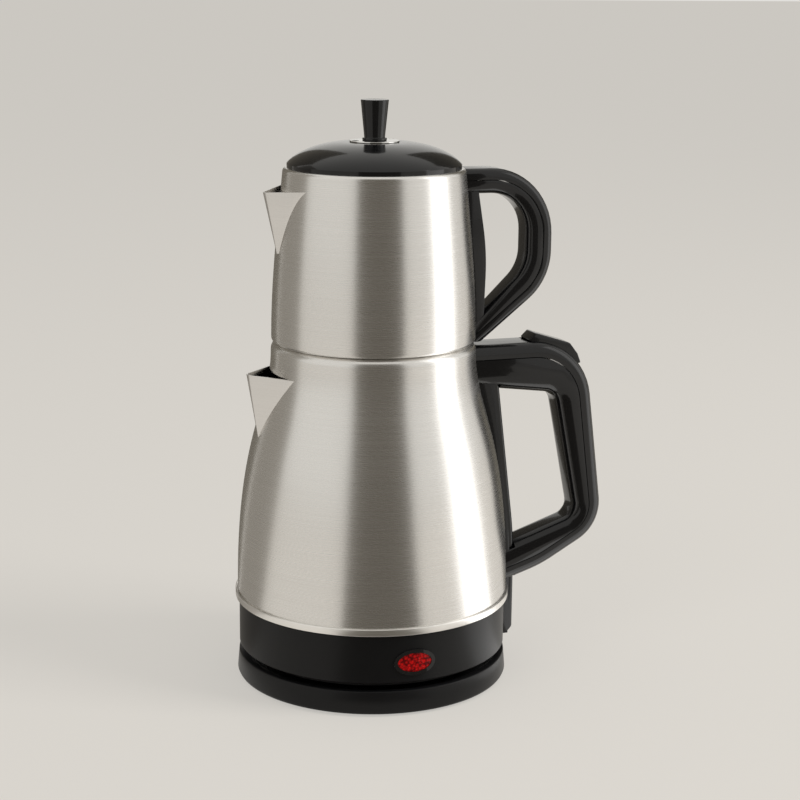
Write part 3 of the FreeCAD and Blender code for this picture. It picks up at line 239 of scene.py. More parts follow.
def plastic(name, color, roughness, grain_size, grain_depth, coat=0.0):
    material = bpy.data.materials.new(name)
    material.use_nodes = True
    nodes = material.node_tree.nodes
    links = material.node_tree.links
    shader = nodes["Principled BSDF"]
    shader.inputs["Specular IOR Level"].default_value = 0.22
    shader.inputs["Coat Weight"].default_value = coat
    shader.inputs["Coat Roughness"].default_value = 0.05
    place = nodes.new("ShaderNodeTexCoord")
    cloud = nodes.new("ShaderNodeTexNoise")
    cloud.inputs["Scale"].default_value = 28.0
    cloud.inputs["Detail"].default_value = 3.0
    tint = nodes.new("ShaderNodeValToRGB")
    tint.color_ramp.elements[0].color = (*[value * 0.82 for value in color], 1.0)
    tint.color_ramp.elements[1].color = (*[value * 1.2 for value in color], 1.0)
    gloss = nodes.new("ShaderNodeMapRange")
    gloss.inputs["To Min"].default_value = roughness * 0.85
    gloss.inputs["To Max"].default_value = roughness * 1.2
    grain = nodes.new("ShaderNodeTexNoise")
    grain.inputs["Scale"].default_value = 1.0 / (grain_size * mm)
    grain.inputs["Detail"].default_value = 2.0
    bump = nodes.new("ShaderNodeBump")
    bump.inputs["Strength"].default_value = 0.35
    bump.inputs["Distance"].default_value = grain_depth * mm
    links.new(place.outputs["Object"], cloud.inputs["Vector"])
    links.new(place.outputs["Object"], grain.inputs["Vector"])
    links.new(cloud.outputs["Fac"], tint.inputs["Fac"])
    links.new(cloud.outputs["Fac"], gloss.inputs["Value"])
    links.new(tint.outputs["Color"], shader.inputs["Base Color"])
    links.new(gloss.outputs["Result"], shader.inputs["Roughness"])
    links.new(grain.outputs["Fac"], bump.inputs["Height"])
    links.new(bump.outputs["Normal"], shader.inputs["Normal"])
    return material


satin_black = plastic("satin_black_plastic", (0.0075, 0.0075, 0.008), 0.34, 0.7, 0.02)
base_shell = turned_piece("base_shell_piece", [
    (74.4, 3.0), (76.8, 3.0), (76.8, 1.0), (78.2, 1.4), (79.0, 3.2), (78.0, 14.5), (74.0, 14.5), (71.5, 12.0),
    (54.25, 12.0), (54.25, 16.2), (49.75, 16.2), (49.75, 12.0), (19.9, 12.0), (19.9, 9.8), (69.3, 9.8),
    (74.4, 12.3), (74.4, 3.0)])
soften_edges(base_shell, 0.6)
smooth(base_shell)
finish_piece(base_shell, satin_black, "base", "black_plastic", "base_shell")

# Base underside: a flat plate let into the housing and held by three screws, a rubber ring for the base
# to stand on, and a rubber bush in the back wall. Their faces are taken over and smoothed.
def smoothed_copy(node, material, body, slot):
    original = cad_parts[node]
    piece = original.copy()
    piece.data = original.data.copy()
    piece.name = node + "_piece"
    bpy.context.scene.collection.objects.link(piece)
    bpy.ops.object.select_all(action="DESELECT")
    piece.select_set(True)
    bpy.context.view_layer.objects.active = piece
    bpy.ops.mesh.customdata_custom_splitnormals_clear()
    bpy.ops.object.mode_set(mode="EDIT")
    bpy.ops.mesh.select_all(action="SELECT")
    bpy.ops.mesh.remove_doubles(threshold=0.00001)
    bpy.ops.object.mode_set(mode="OBJECT")
    smooth(piece)
    finish_piece(piece, material, body, slot, node)
    return piece


def metal(name, color, roughness, grain_size, grain_depth):
    material = plastic(name, color, roughness, grain_size, grain_depth)
    material.node_tree.nodes["Principled BSDF"].inputs["Metallic"].default_value = 1.0
    return material


matte_black = plastic("matte_black_plastic", (0.018, 0.018, 0.019), 0.52, 0.5, 0.05)
rubber = plastic("black_rubber", (0.014, 0.014, 0.014), 0.72, 0.35, 0.04)
zinc = metal("zinc_plated_screws", (0.60, 0.60, 0.58), 0.30, 0.3, 0.01)
smoothed_copy("base_plate", matte_black, "base", "dark_plastic")
smoothed_copy("base_foot_ring", rubber, "base", "foot_rubber")
smoothed_copy("base_screws", zinc, "base", "screw_steel")
smoothed_copy("cord_bush", rubber, "base", "foot_rubber")

# Coupler: a round post on the base with two contact rings, and the round socket under the kettle that
# drops over it. Moulded in matte black, with brass rings and pale sleeved leads below.
brass = metal("contact_brass", (0.72, 0.52, 0.24), 0.26, 0.4, 0.008)
pale_sleeving = plastic("pale_sleeving", (0.60, 0.56, 0.48), 0.6, 0.4, 0.03)
smoothed_copy("base_coupler", matte_black, "base", "dark_plastic")
smoothed_copy("base_contacts", brass, "base", "contact_brass")
smoothed_copy("base_leads", pale_sleeving, "base", "lead_copper")
smoothed_copy("kettle_coupler", matte_black, "coupler", "dark_plastic")
smoothed_copy("coupler_rings", brass, "coupler", "contact_brass")

# Kettle's underside and heater: a black cover and posts, the pressed bottom with its heat plate, the
# sheathed element brazed under it and the dry-boil control. Pressed, machined and moulded pieces.
pressed_steel = metal("pressed_sheet_steel", (0.56, 0.55, 0.53), 0.30, 0.6, 0.01)
aluminium = metal("machined_aluminium", (0.66, 0.66, 0.67), 0.36, 0.5, 0.012)
sheath = metal("dull_element_sheath", (0.50, 0.50, 0.51), 0.46, 0.4, 0.015)
pale_moulding = plastic("pale_heat_proof_moulding", (0.52, 0.48, 0.40), 0.5, 0.5, 0.03)
smoothed_copy("kettle_base_cover", matte_black, "kettle", "dark_plastic")
smoothed_copy("cover_screws", zinc, "kettle", "screw_steel")
smoothed_copy("mounting_posts", matte_black, "kettle", "dark_plastic")
smoothed_copy("kettle_bottom", pressed_steel, "kettle", "pressed_steel")
smoothed_copy("heat_plate", aluminium, "kettle", "heat_aluminium")
smoothed_copy("heating_element", sheath, "kettle", "element_sheath")
smoothed_copy("boil_dry_control", pale_moulding, "kettle", "control_plastic")

# Collar: the satin black band round the kettle's foot, with an opening for the lamp in front and one for
# the switch's wires behind the handle's spine. Turned, with the openings cut through.
def cut_piece(piece, cutter, operation="DIFFERENCE", keep=False):
    bpy.ops.object.select_all(action="DESELECT")
    bpy.context.view_layer.objects.active = piece
    cut = piece.modifiers.new("cut", "BOOLEAN")
    cut.operation = operation
    cut.solver = "EXACT"
    cut.object = cutter
    bpy.ops.object.modifier_apply(modifier="cut")
    if not keep:
        bpy.data.objects.remove(cutter)


def oval_cutter(width, height, y_low, y_high, z):
    bpy.ops.object.select_all(action="DESELECT")
    bpy.ops.mesh.primitive_cylinder_add(vertices=96, radius=0.5, depth=1.0,
                                        location=(0.0, (y_low + y_high) / 2.0 * mm, z * mm),
                                        rotation=(math.radians(90.0), 0.0, 0.0))
    cutter = bpy.context.active_object
    cutter.scale = (width * mm, height * mm, (y_high - y_low) * mm)
    bpy.ops.object.transform_apply(location=True, rotation=True, scale=True)
    return cutter


collar = turned_piece("kettle_collar_piece", [
    (63.3, 18.7), (76.8, 18.7), (77.8, 19.7), (77.8, 47.4), (75.3, 47.4), (75.3, 21.2), (63.3, 21.2),
    (63.3, 18.7)], 192)
cut_piece(collar, oval_cutter(width=21.9, height=13.1, y_low=-90.0, y_high=-68.3, z=30.9))
bpy.ops.object.select_all(action="DESELECT")
bpy.ops.mesh.primitive_cube_add(size=1.0, location=(0.076, 0.0, 0.0365), scale=(0.016, 0.018, 0.008))
wire_opening = bpy.context.active_object
bpy.ops.object.transform_apply(location=True, rotation=True, scale=True)
cut_piece(collar, wire_opening)
smooth(collar)
finish_piece(collar, satin_black, "kettle", "black_plastic", "kettle_collar")

# Trim ring: a bright turned steel band that caps the collar and holds the foot of the steel body.
# Satin polished, with both outer edges broken.
trim_steel = metal("satin_polished_ring", (0.90, 0.88, 0.85), 0.30, 0.4, 0.004)
trim_ring = turned_piece("trim_ring_piece", [
    (76.55, 47.4), (80.0, 47.4), (80.0, 51.4), (78.75, 51.4), (78.75, 48.4), (76.55, 48.4),
    (76.55, 47.4)], 192)
soften_edges(trim_ring, 0.5)
smooth(trim_ring)
finish_piece(trim_ring, trim_steel, "kettle", "polished_steel", "trim_ring")

# Indicator lamp: a dark glossy oval bezel let into the collar, a pebbled red lens in it with painted light
# and shade on its pebbles, and a small glow lamp behind. Clipped in from the front.
lamp_black = plastic("glossy_lamp_bezel", (0.010, 0.010, 0.010), 0.10, 0.8, 0.004, 0.5)
red_lens = plastic("red_pebbled_lens", (0.42, 0.004, 0.006), 0.2, 0.8, 0.01)
red_tree = red_lens.node_tree
pebbles = red_tree.nodes.new("ShaderNodeTexVoronoi")
pebbles.inputs["Scale"].default_value = 620.0
# Painted light and shade: the lens colour runs from bright red at each pebble's middle to dark red at its
# edges, standing in for the light on the facets.
pebble_painted_light_and_shade = red_tree.nodes.new("ShaderNodeValToRGB")
pebble_painted_light_and_shade.color_ramp.elements[0].color = (0.78, 0.006, 0.006, 1.0)
pebble_painted_light_and_shade.color_ramp.elements[1].color = (0.10, 0.001, 0.002, 1.0)
pebble_painted_light_and_shade.color_ramp.elements[1].position = 0.75
pebble_bump = red_tree.nodes.new("ShaderNodeBump")
pebble_bump.inputs["Strength"].default_value = 0.6
pebble_bump.inputs["Distance"].default_value = 0.25 * mm
red_place = red_tree.nodes["Texture Coordinate"]
red_tree.links.new(red_place.outputs["Object"], pebbles.inputs["Vector"])
red_tree.links.new(pebbles.outputs["Distance"], pebble_bump.inputs["Height"])
red_tree.links.new(pebbles.outputs["Distance"], pebble_painted_light_and_shade.inputs["Fac"])
red_tree.links.new(pebble_painted_light_and_shade.outputs["Color"], red_tree.nodes["Principled BSDF"].inputs["Base Color"])
red_tree.links.new(pebble_bump.outputs["Normal"], red_tree.nodes["Principled BSDF"].inputs["Normal"])
glow_glass = plastic("glow_lamp_glass", (0.75, 0.45, 0.35), 0.08, 0.6, 0.004)
smoothed_copy("lamp_bezel", lamp_black, "kettle", "lamp_bezel_black")
smoothed_copy("lamp_lens", red_lens, "kettle", "lamp_red")
smoothed_copy("indicator_lamp", glow_glass, "kettle", "lamp_glass")

# Kettle body: one drawn shell of stainless steel, brushed round and round, with a rolled shoulder and a
# mouth turned down to take the teapot. Turned, given its sheet thickness, then cut for spout and steam.
def curve_points(a, b, c, d, count):
    poles = [Vector((x, z, 0.0)) for x, z in (a, b, c, d)]
    return [(found.x, found.y) for found in interpolate_bezier(*poles, count)]


def arc_points(x, z, radius, start, end, count):
    turns = [math.radians(start + (end - start) * step / (count - 1)) for step in range(count)]
    return [(x + radius * math.cos(turn), z + radius * math.sin(turn)) for turn in turns]


def add_wall(piece, thickness):
    bpy.ops.object.select_all(action="DESELECT")
    bpy.context.view_layer.objects.active = piece
    wall = piece.modifiers.new("wall", "SOLIDIFY")
    wall.thickness = thickness * mm
    wall.offset = -1.0
    bpy.ops.object.modifier_apply(modifier="wall")


def round_cutter(radius, start, end):
    start, end = Vector(start) * mm, Vector(end) * mm
    bpy.ops.object.select_all(action="DESELECT")
    bpy.ops.mesh.primitive_cylinder_add(
        vertices=40, radius=radius * mm, depth=(end - start).length, location=(start + end) / 2.0,
        rotation=(end - start).to_track_quat("Z", "Y").to_euler())
    cutter = bpy.context.active_object
    bpy.ops.object.transform_apply(location=True, rotation=True, scale=True)
    return cutter


def brushed_steel(name, color, roughness, streak_depth, anisotropy):
    material = bpy.data.materials.new(name)
    material.use_nodes = True
    nodes = material.node_tree.nodes
    links = material.node_tree.links
    shader = nodes["Principled BSDF"]
    shader.inputs["Metallic"].default_value = 1.0
    shader.inputs["Anisotropic"].default_value = anisotropy
    shader.inputs["Anisotropic Rotation"].default_value = 0.25
    around = nodes.new("ShaderNodeTangent")
    around.direction_type = "RADIAL"
    around.axis = "Z"
    place = nodes.new("ShaderNodeTexCoord")
    stretch = nodes.new("ShaderNodeMapping")
    stretch.inputs["Scale"].default_value = (6.0, 6.0, 2600.0)
    streaks = nodes.new("ShaderNodeTexNoise")
    streaks.inputs["Scale"].default_value = 1.0
    streaks.inputs["Detail"].default_value = 4.0
    streaks.inputs["Roughness"].default_value = 0.6
    bump = nodes.new("ShaderNodeBump")
    bump.inputs["Strength"].default_value = 0.12
    bump.inputs["Distance"].default_value = streak_depth * mm
    shade = nodes.new("ShaderNodeValToRGB")
    shade.color_ramp.elements[0].position = 0.3
    shade.color_ramp.elements[0].color = (*[value * 0.965 for value in color], 1.0)
    shade.color_ramp.elements[1].position = 0.7
    shade.color_ramp.elements[1].color = (*[min(value * 1.03, 1.0) for value in color], 1.0)
    gloss = nodes.new("ShaderNodeMapRange")
    gloss.inputs["From Min"].default_value = 0.3
    gloss.inputs["From Max"].default_value = 0.7
    gloss.inputs["To Min"].default_value = roughness * 0.94
    gloss.inputs["To Max"].default_value = roughness * 1.06
    links.new(around.outputs["Tangent"], shader.inputs["Tangent"])
    links.new(place.outputs["Object"], stretch.inputs["Vector"])
    links.new(stretch.outputs["Vector"], streaks.inputs["Vector"])
    links.new(streaks.outputs["Fac"], shade.inputs["Fac"])
    links.new(streaks.outputs["Fac"], gloss.inputs["Value"])
    links.new(streaks.outputs["Fac"], bump.inputs["Height"])
    links.new(shade.outputs["Color"], shader.inputs["Base Color"])
    links.new(gloss.outputs["Result"], shader.inputs["Roughness"])
    links.new(bump.outputs["Normal"], shader.inputs["Normal"])
    return material


body_steel = brushed_steel("brushed_body_steel", (0.83, 0.815, 0.79), 0.27, 0.006, 0.35)
kettle_side = curve_points((78.7, 51.4), (78.7, 145.2), (58.6, 157.6), (58.6, 193.2), 36)
kettle_skin = [(78.7, 48.4)] + kettle_side + arc_points(53.6, 193.2, 5.0, 15.0, 90.0, 7)
kettle_body = turned_piece("kettle_body_piece", kettle_skin + [
    (50.2, 198.2), (49.4, 197.9), (49.0, 197.2), (49.0, 191.2)], 192)
add_wall(kettle_body, 0.8)
steam_hole = 3.55
steam_z = 186.6
cut_piece(kettle_body, round_cutter(steam_hole, (54.0, 0.0, steam_z), (62.0, 0.0, steam_z)))

# Kettle spout: a pressed V of the same steel, welded over an opening high on the body. Its rim is level
# and flares into the body; its sides run down to a point. A drawn rim is drawn out downwards and hollowed.
spout_sunk = 0.5
spout_flare_angle = 10.0
spout_flare_share = 0.27
spout_wall_share = 0.38


def spout_form(name, rim_radius, foot_radius, low_z, rim_z, reach, half_angle, tip_round, tip_drop, inset):
    turn = math.radians(half_angle)
    corner = rim_radius - spout_sunk
    corner_x = -corner * math.cos(turn)
    side = corner * math.sin(turn) - inset
    tip_x = -reach + inset - tip_round * 0.4
    half = math.atan2(side, corner_x - tip_x)
    nose = arc_points(tip_x + tip_round / math.sin(half), 0.0, tip_round,
                      270.0 - math.degrees(half), 90.0 + math.degrees(half), 9)
    edge = [(corner_x, -side)]
    if not inset:
        flare = turn + math.radians(spout_flare_angle)
        low = Vector((-corner * math.cos(flare), -corner * math.sin(flare), 0.0))
        start = Vector((*nose[0], 0.0))
        length = (low - start).length
        leaving = Vector((-math.sin(flare), math.cos(flare), 0.0)) * length * spout_flare_share
        arriving = Vector((math.cos(half), -math.sin(half), 0.0)) * length * spout_wall_share
        side_line = interpolate_bezier(low, low + leaving, start + arriving, start, 12)
        edge = [(found.x, found.y) for found in side_line[:-1]]
    back_x = edge[0][0] - edge[0][1]
    rim = [(back_x, edge[0][1] * 0.8)] + edge + nose[:5]
    rim += [(x, -y) for x, y in rim[-2::-1]]
    slope = tip_drop / (reach + corner_x)
    points = [(x, y, rim_z + slope * (x - corner_x)) for x, y in rim]
    form = drawn_line(name, points + points[:1])
    bpy.ops.mesh.select_all(action="SELECT")
    bpy.ops.mesh.remove_doubles(threshold=0.000001)
    bpy.ops.mesh.select_all(action="SELECT")
    bpy.ops.mesh.edge_face_add()
    foot_z = low_z + inset * 3.0
    foot = Vector((-foot_radius + spout_sunk + inset, 0.0, foot_z)) * mm
    bpy.ops.mesh.extrude_region_move(
        TRANSFORM_OT_translate={"value": foot - Vector((corner_x, 0.0, rim_z)) * mm})
    bpy.ops.transform.resize(value=(0.05, 0.05, 0.05), center_override=foot)
    bpy.ops.mesh.select_all(action="SELECT")
    bpy.ops.mesh.normals_make_consistent(inside=False)
    bpy.ops.object.mode_set(mode="OBJECT")
    return form


def vessel_cutter(profile):
    low_z, high_z = profile[0][1], profile[-1][1]
    return turned_piece("vessel_cutter", [(0.0, low_z)] + profile + [(0.0, high_z), (0.0, low_z)], 192)


spout_steel = brushed_steel("satin_spout_steel", (0.80, 0.78, 0.755), 0.25, 0.003, 0.0)
spout_wall = 0.8
channel_lift = 0.00002
kettle_v = dict(rim_radius=58.87, low_z=140.5, rim_z=182.0, reach=74.8, half_angle=22.5, tip_round=5.0,
                tip_drop=0.0)
kettle_spout = spout_form("kettle_spout_piece", foot_radius=67.06, inset=0.0, **kettle_v)
kettle_channel = spout_form("kettle_channel", foot_radius=66.6, inset=spout_wall, **kettle_v)
kettle_channel.location = (0.0, 0.0, channel_lift)
cut_piece(kettle_body, kettle_channel, keep=True)
cut_piece(kettle_spout, kettle_channel)
cut_piece(kettle_spout, vessel_cutter(kettle_skin))
soften_edges(kettle_spout, 0.2, 2, 50.0)
smooth(kettle_body, 30.0)
smooth(kettle_spout, 30.0)
finish_piece(kettle_body, body_steel, "kettle", "brushed_body", "kettle_body")
finish_piece(kettle_spout, spout_steel, "kettle", "spout_steel", "kettle_spout")

# Kettle handle: a deep D in gloss black, moulded as an outer and an inner shell that meet along a groove,
# and screwed to two welded brackets. One bar with broad rounds, trimmed to the kettle, then parted.
def cornered_line(corners, radii, count=9):
    points = [corners[0]]
    for before, here, after, radius in zip(corners, corners[1:], corners[2:], radii):
        here = Vector(here)
        way_in = (Vector(before) - here).normalized()
        way_out = (Vector(after) - here).normalized()
        half = way_in.angle(way_out) / 2.0
        centre = here + (way_in + way_out).normalized() * radius / math.sin(half)
        start = here + way_in * radius / math.tan(half) - centre
        end = here + way_out * radius / math.tan(half) - centre
        turn = start.angle(end)
        for step in range(count):
            share = step / (count - 1)
            spoke = (start * math.sin((1.0 - share) * turn) + end * math.sin(share * turn)) / math.sin(turn)
            points.append(tuple(centre + spoke))
    points.append(corners[-1])
    return points


def moved_line(points, distance, closed=False):
    places = [Vector(place) for place in points]
    moved = []
    for number, here in enumerate(places):
        before = places[number - 1] if number or closed else None
        after = places[(number + 1) % len(places)] if number + 1 < len(places) or closed else None
        ways = [(b - a).normalized() for a, b in ((before, here), (here, after)) if a and b]
        sides = [Vector((way.y, -way.x)) for way in ways]
        side = sum(sides, Vector((0.0, 0.0)))
        reach = 1.0 if len(sides) == 1 else 1.0 + sides[0].dot(sides[1])
        moved.append(tuple(here + side * distance / reach))
    return moved


def flat_prism(name, outline, half_width):
    piece = drawn_line(name, [(x, -half_width, z) for x, z in list(outline) + [outline[0]]])
    bpy.ops.mesh.select_all(action="SELECT")
    bpy.ops.mesh.remove_doubles(threshold=0.000001)
    bpy.ops.mesh.select_all(action="SELECT")
    bpy.ops.mesh.edge_face_add()
    bpy.ops.mesh.extrude_region_move(TRANSFORM_OT_translate={"value": (0.0, 2.0 * half_width * mm, 0.0)})
    bpy.ops.mesh.select_all(action="SELECT")
    bpy.ops.mesh.normals_make_consistent(inside=False)
    bpy.ops.object.mode_set(mode="OBJECT")
    return piece


def round_along(piece, line, half_width, radius, segments=8):
    middles = [((ax + bx) / 2.0, (az + bz) / 2.0) for (ax, az), (bx, bz) in zip(line, line[1:])]
    bpy.ops.object.select_all(action="DESELECT")
    bpy.context.view_layer.objects.active = piece
    piece.select_set(True)
    bpy.ops.object.mode_set(mode="EDIT")
    bpy.ops.mesh.select_mode(type="EDGE")
    bpy.ops.mesh.select_all(action="DESELECT")
    bpy.ops.object.mode_set(mode="OBJECT")
    corners = piece.data.vertices
    for edge in piece.data.edges:
        a, b = [corners[number].co / mm for number in edge.vertices]
        if min(abs(a.y), abs(b.y)) < half_width - 0.01:
            continue
        x, z = (a.x + b.x) / 2.0, (a.z + b.z) / 2.0
        edge.select = any(abs(x - mx) + abs(z - mz) < 0.02 for mx, mz in middles)
    bpy.ops.object.mode_set(mode="EDIT")
    bpy.ops.mesh.bevel(offset=radius * mm, segments=segments, affect="EDGES", clamp_overlap=False)
    bpy.ops.object.mode_set(mode="OBJECT")


def handle_bar(name, outer, inner, half_width, outer_round, inner_round):
    bar = flat_prism(name, outer + inner[::-1], half_width)
    round_along(bar, outer, half_width, outer_round)
    round_along(bar, inner, half_width, inner_round)
    return bar


def spine_outline(line, distance, inner_x, stretch):
    line = moved_line(line, distance)
    start, end = Vector(line[0]), Vector(line[-1])
    start += (start - Vector(line[1])).normalized() * stretch
    end += (end - Vector(line[-2])).normalized() * stretch
    return [tuple(start)] + line[1:-1] + [tuple(end), (inner_x, end.y), (inner_x, start.y)]


def part_handle(outer, inner_name, grip, groove_near, groove_far, body, outer_node, inner_node):
    inner = outer.copy()
    inner.data = outer.data.copy()
    inner.name = inner_name
    bpy.context.scene.collection.objects.link(inner)
    outside = moved_line(grip, -3.0)
    outer_half = outside + moved_line(grip, groove_near)[::-1]
    inner_half = outside + moved_line(grip, groove_far)[::-1]
    cut_piece(outer, flat_prism("outer_half", outer_half, cutter_half), "INTERSECT")
    cut_piece(inner, flat_prism("inner_half", inner_half, cutter_half))
    for piece, node in ((outer, outer_node), (inner, inner_node)):
        soften_edges(piece, 0.3, 2, 40.0)
        smooth(piece)
        finish_piece(piece, gloss_black, body, "gloss_black", node)


cutter_half = 14.0
gloss_black = plastic("gloss_black_plastic", (0.0055, 0.0055, 0.006), 0.16, 1.2, 0.004, 0.45)
kettle_grip = cornered_line([(52.0, 193.0), (128.9, 193.0), (143.6, 78.0), (104.0, 55.8), (66.0, 43.8)],
                            [38.0, 26.0, 80.0], 13)
kettle_hole = cornered_line([(52.0, 168.9), (110.8, 161.3), (125.8, 85.6), (66.0, 65.3)], [9.0, 8.0])
kettle_back = cornered_line([(74.1, 176.2), (86.7, 74.3), (86.7, 15.5)], [250.0])
kettle_wall = vessel_cutter(
    [(77.9, 12.0), (77.9, 47.3), (80.1, 47.3), (80.1, 51.5)] + [(x + 0.1, z) for x, z in kettle_side[1:]]
    + arc_points(53.6, 193.2, 5.1, 15.0, 90.0, 7))
spine_seat = flat_prism("spine_seat", spine_outline(kettle_back, -0.1, 50.0, 0.1), 10.3)
handle_outer = handle_bar("handle_outer_piece", kettle_grip, kettle_hole, 12.5, 6.0, 9.0)
cut_piece(handle_outer, kettle_wall, keep=True)
cut_piece(handle_outer, spine_seat)

pivot_x = 110.0
pivot_z = 185.8
paddle_half = 7.0
well_half = 7.5
paddle_gap = 0.5
hub_radius = 3.6
hub_hole = 4.1
pin_hole = 1.55
plunger_hole = 2.05
plunger_x = 101.0


def pivot_cutter(radius, half_width):
    return round_cutter(radius, (pivot_x, -half_width, pivot_z), (pivot_x, half_width, pivot_z))


paddle_line = [(pivot_x + x, pivot_z + z) for x, z in (
    (-16.4, 8.0), (-12.2, 12.0), (10.0, 4.9), (15.0, -1.6), (17.2, -7.2), (12.6, -8.6), (7.5, -2.3),
    (-12.0, 3.8))]
paddle_space = moved_line(paddle_line, -paddle_gap, closed=True)
pivot = Vector((pivot_x, pivot_z))
for pressed in (0.0, 4.0, 8.0):
    swing = Matrix.Rotation(math.radians(pressed), 2)
    outline = [tuple(pivot + swing @ (Vector(place) - pivot)) for place in paddle_space]
    cut_piece(handle_outer, flat_prism("paddle_well", outline, well_half))
cut_piece(handle_outer, pivot_cutter(hub_hole, well_half))
cut_piece(handle_outer, pivot_cutter(pin_hole, 10.55))
cut_piece(handle_outer, round_cutter(plunger_hole, (plunger_x, 0.0, 170.0), (plunger_x, 0.0, 192.0)))
control_room = [(83.0, 172.9), (83.0, 182.9), (106.2, 182.9), (106.2, 172.9)]
cut_piece(handle_outer, flat_prism("control_room", control_room, 10.3))
part_handle(handle_outer, "handle_inner_piece", kettle_grip, 8.25, 8.75, "kettle", "handle_outer_shell",
            "handle_inner_shell")

# Handle's spine: a gloss black channel down the kettle's back that carries the handle and hides the wires,
# with a gloss black strip snapped over its outer face. Both are cut off at a slant at the foot.
spine_black = plastic("spine_black_plastic", (0.008, 0.008, 0.0085), 0.2, 0.9, 0.006, 0.3)
foot_slant = [(82.0, 14.5), (87.7, 20.5), (95.0, 20.5), (95.0, 5.0), (82.0, 5.0)]
cover_depth = 3.8
cover_half = 8.5
handle_spine = flat_prism("handle_spine_piece", spine_outline(kettle_back, cover_depth, 52.0, 0.0), 10.2)
cut_piece(handle_spine, kettle_wall)
cut_piece(handle_spine, flat_prism("foot_slant", foot_slant, cutter_half))
soften_edges(handle_spine, 0.5, 2, 40.0)
smooth(handle_spine)
finish_piece(handle_spine, spine_black, "kettle", "spine_black", "handle_spine")
cover_under = moved_line(kettle_back, cover_depth)
spine_cover = flat_prism("spine_cover_piece", kettle_back + cover_under[::-1], cover_half)
round_along(spine_cover, kettle_back, cover_half, 2.0, 5)
cut_piece(spine_cover, flat_prism("foot_slant", foot_slant, cutter_half))
smooth(spine_cover)
finish_piece(spine_cover, gloss_black, "kettle", "gloss_black", "spine_cover")

# Brackets and screws of the kettle's handle: two tabs of pressed steel welded to the body, each with a
# tongue inside the handle's arm, and a screw from below through each tongue.
smoothed_copy("handle_bracket_top", pressed_steel, "kettle", "pressed_steel")
smoothed_copy("handle_bracket_bottom", pressed_steel, "kettle", "pressed_steel")
smoothed_copy("handle_screws", zinc, "kettle", "screw_steel")

# Switch: a gloss black rocker on a steel pin at the handle's top corner, a white plunger under it, and the
# steam control inside the handle with its strip-metal disc, two wires and the silicone steam bush.
white_plastic = plastic("natural_white_plastic", (0.62, 0.60, 0.55), 0.42, 0.6, 0.02)
strip_metal = metal("plain_strip_metal", (0.56, 0.50, 0.42), 0.34, 0.5, 0.01)
silicone = plastic("grey_silicone", (0.32, 0.30, 0.27), 0.6, 0.4, 0.02)
paddle = flat_prism("switch_paddle_piece", paddle_line, paddle_half)
soften_edges(paddle, 0.7, 4, 25.0)
cut_piece(paddle, pivot_cutter(hub_radius, paddle_half), "UNION")
cut_piece(paddle, pivot_cutter(pin_hole, 8.0))
smooth(paddle)
finish_piece(paddle, gloss_black, "switch", "gloss_black", "switch_paddle")
smoothed_copy("switch_pivot_pin", zinc, "kettle", "screw_steel")
smoothed_copy("switch_plunger", white_plastic, "plunger", "white_plastic")
smoothed_copy("switch_housing", pale_moulding, "kettle", "control_plastic")
smoothed_copy("bimetal_disc", strip_metal, "kettle", "bimetal")
smoothed_copy("switch_wires", pale_sleeving, "kettle", "lead_copper")
smoothed_copy("steam_bush", silicone, "kettle", "steam_silicone")

# Teapot body: a shell of the same brushed steel that stands in the kettle's mouth on a pressed pan, with a
# rolled rim and a strainer of small holes behind the spout.
teapot_side = curve_points((58.3, 200.2), (58.3, 233.7), (53.975, 269.0), (51.6, 294.0), 30)
teapot_skin = (arc_points(56.3, 200.2, 2.0, -90.0, -10.0, 6) + teapot_side
               + arc_points(49.2, 294.0, 2.4, 10.0, 90.0, 8))
teapot_body = turned_piece("teapot_body_piece", [(48.7, 198.2)] + teapot_skin + [
    (48.3, 296.3), (47.6, 296.0), (47.3, 295.3), (47.3, 288.4)], 192)
add_wall(teapot_body, 0.8)
strainer_hole = 1.5
strainer_pitch = 5.0
strainer_low_z = 259.8
for row, columns in enumerate((0, 1, 1, 1)):
    for column in range(-columns, columns + 1):
        side = column * strainer_pitch
        height = strainer_low_z + row * strainer_pitch
        cut_piece(teapot_body, round_cutter(strainer_hole, (-62.0, side, height), (-30.0, side, height)))
smooth(teapot_body, 30.0)
finish_piece(teapot_body, body_steel, "teapot", "brushed_body", "teapot_body")
teapot_pan = turned_piece("teapot_bottom_piece", [
    (0.0, 192.2), (48.65, 192.2), (48.65, 199.0), (52.15, 199.0), (52.15, 199.8), (47.85, 199.8),
    (47.85, 193.0), (0.0, 193.0)], 160)
smooth(teapot_pan)
finish_piece(teapot_pan, pressed_steel, "teapot", "pressed_steel", "teapot_bottom")

# Teapot spout: a shallower pressed V, welded over the strainer, with its rim falling a little to the tip.
teapot_v = dict(rim_radius=52.35, low_z=249.8, rim_z=286.0, reach=64.0, half_angle=24.5, tip_round=4.5,
                tip_drop=2.0)
teapot_spout = spout_form("teapot_spout_piece", foot_radius=56.45, inset=0.0, **teapot_v)
teapot_channel = spout_form("teapot_channel", foot_radius=56.2, inset=spout_wall, **teapot_v)
teapot_channel.location = (0.0, 0.0, channel_lift)
cut_piece(teapot_spout, teapot_channel)
cut_piece(teapot_spout, vessel_cutter(teapot_skin))
soften_edges(teapot_spout, 0.2, 2, 50.0)
smooth(teapot_spout, 30.0)
finish_piece(teapot_spout, spout_steel, "teapot", "spout_steel", "teapot_spout")

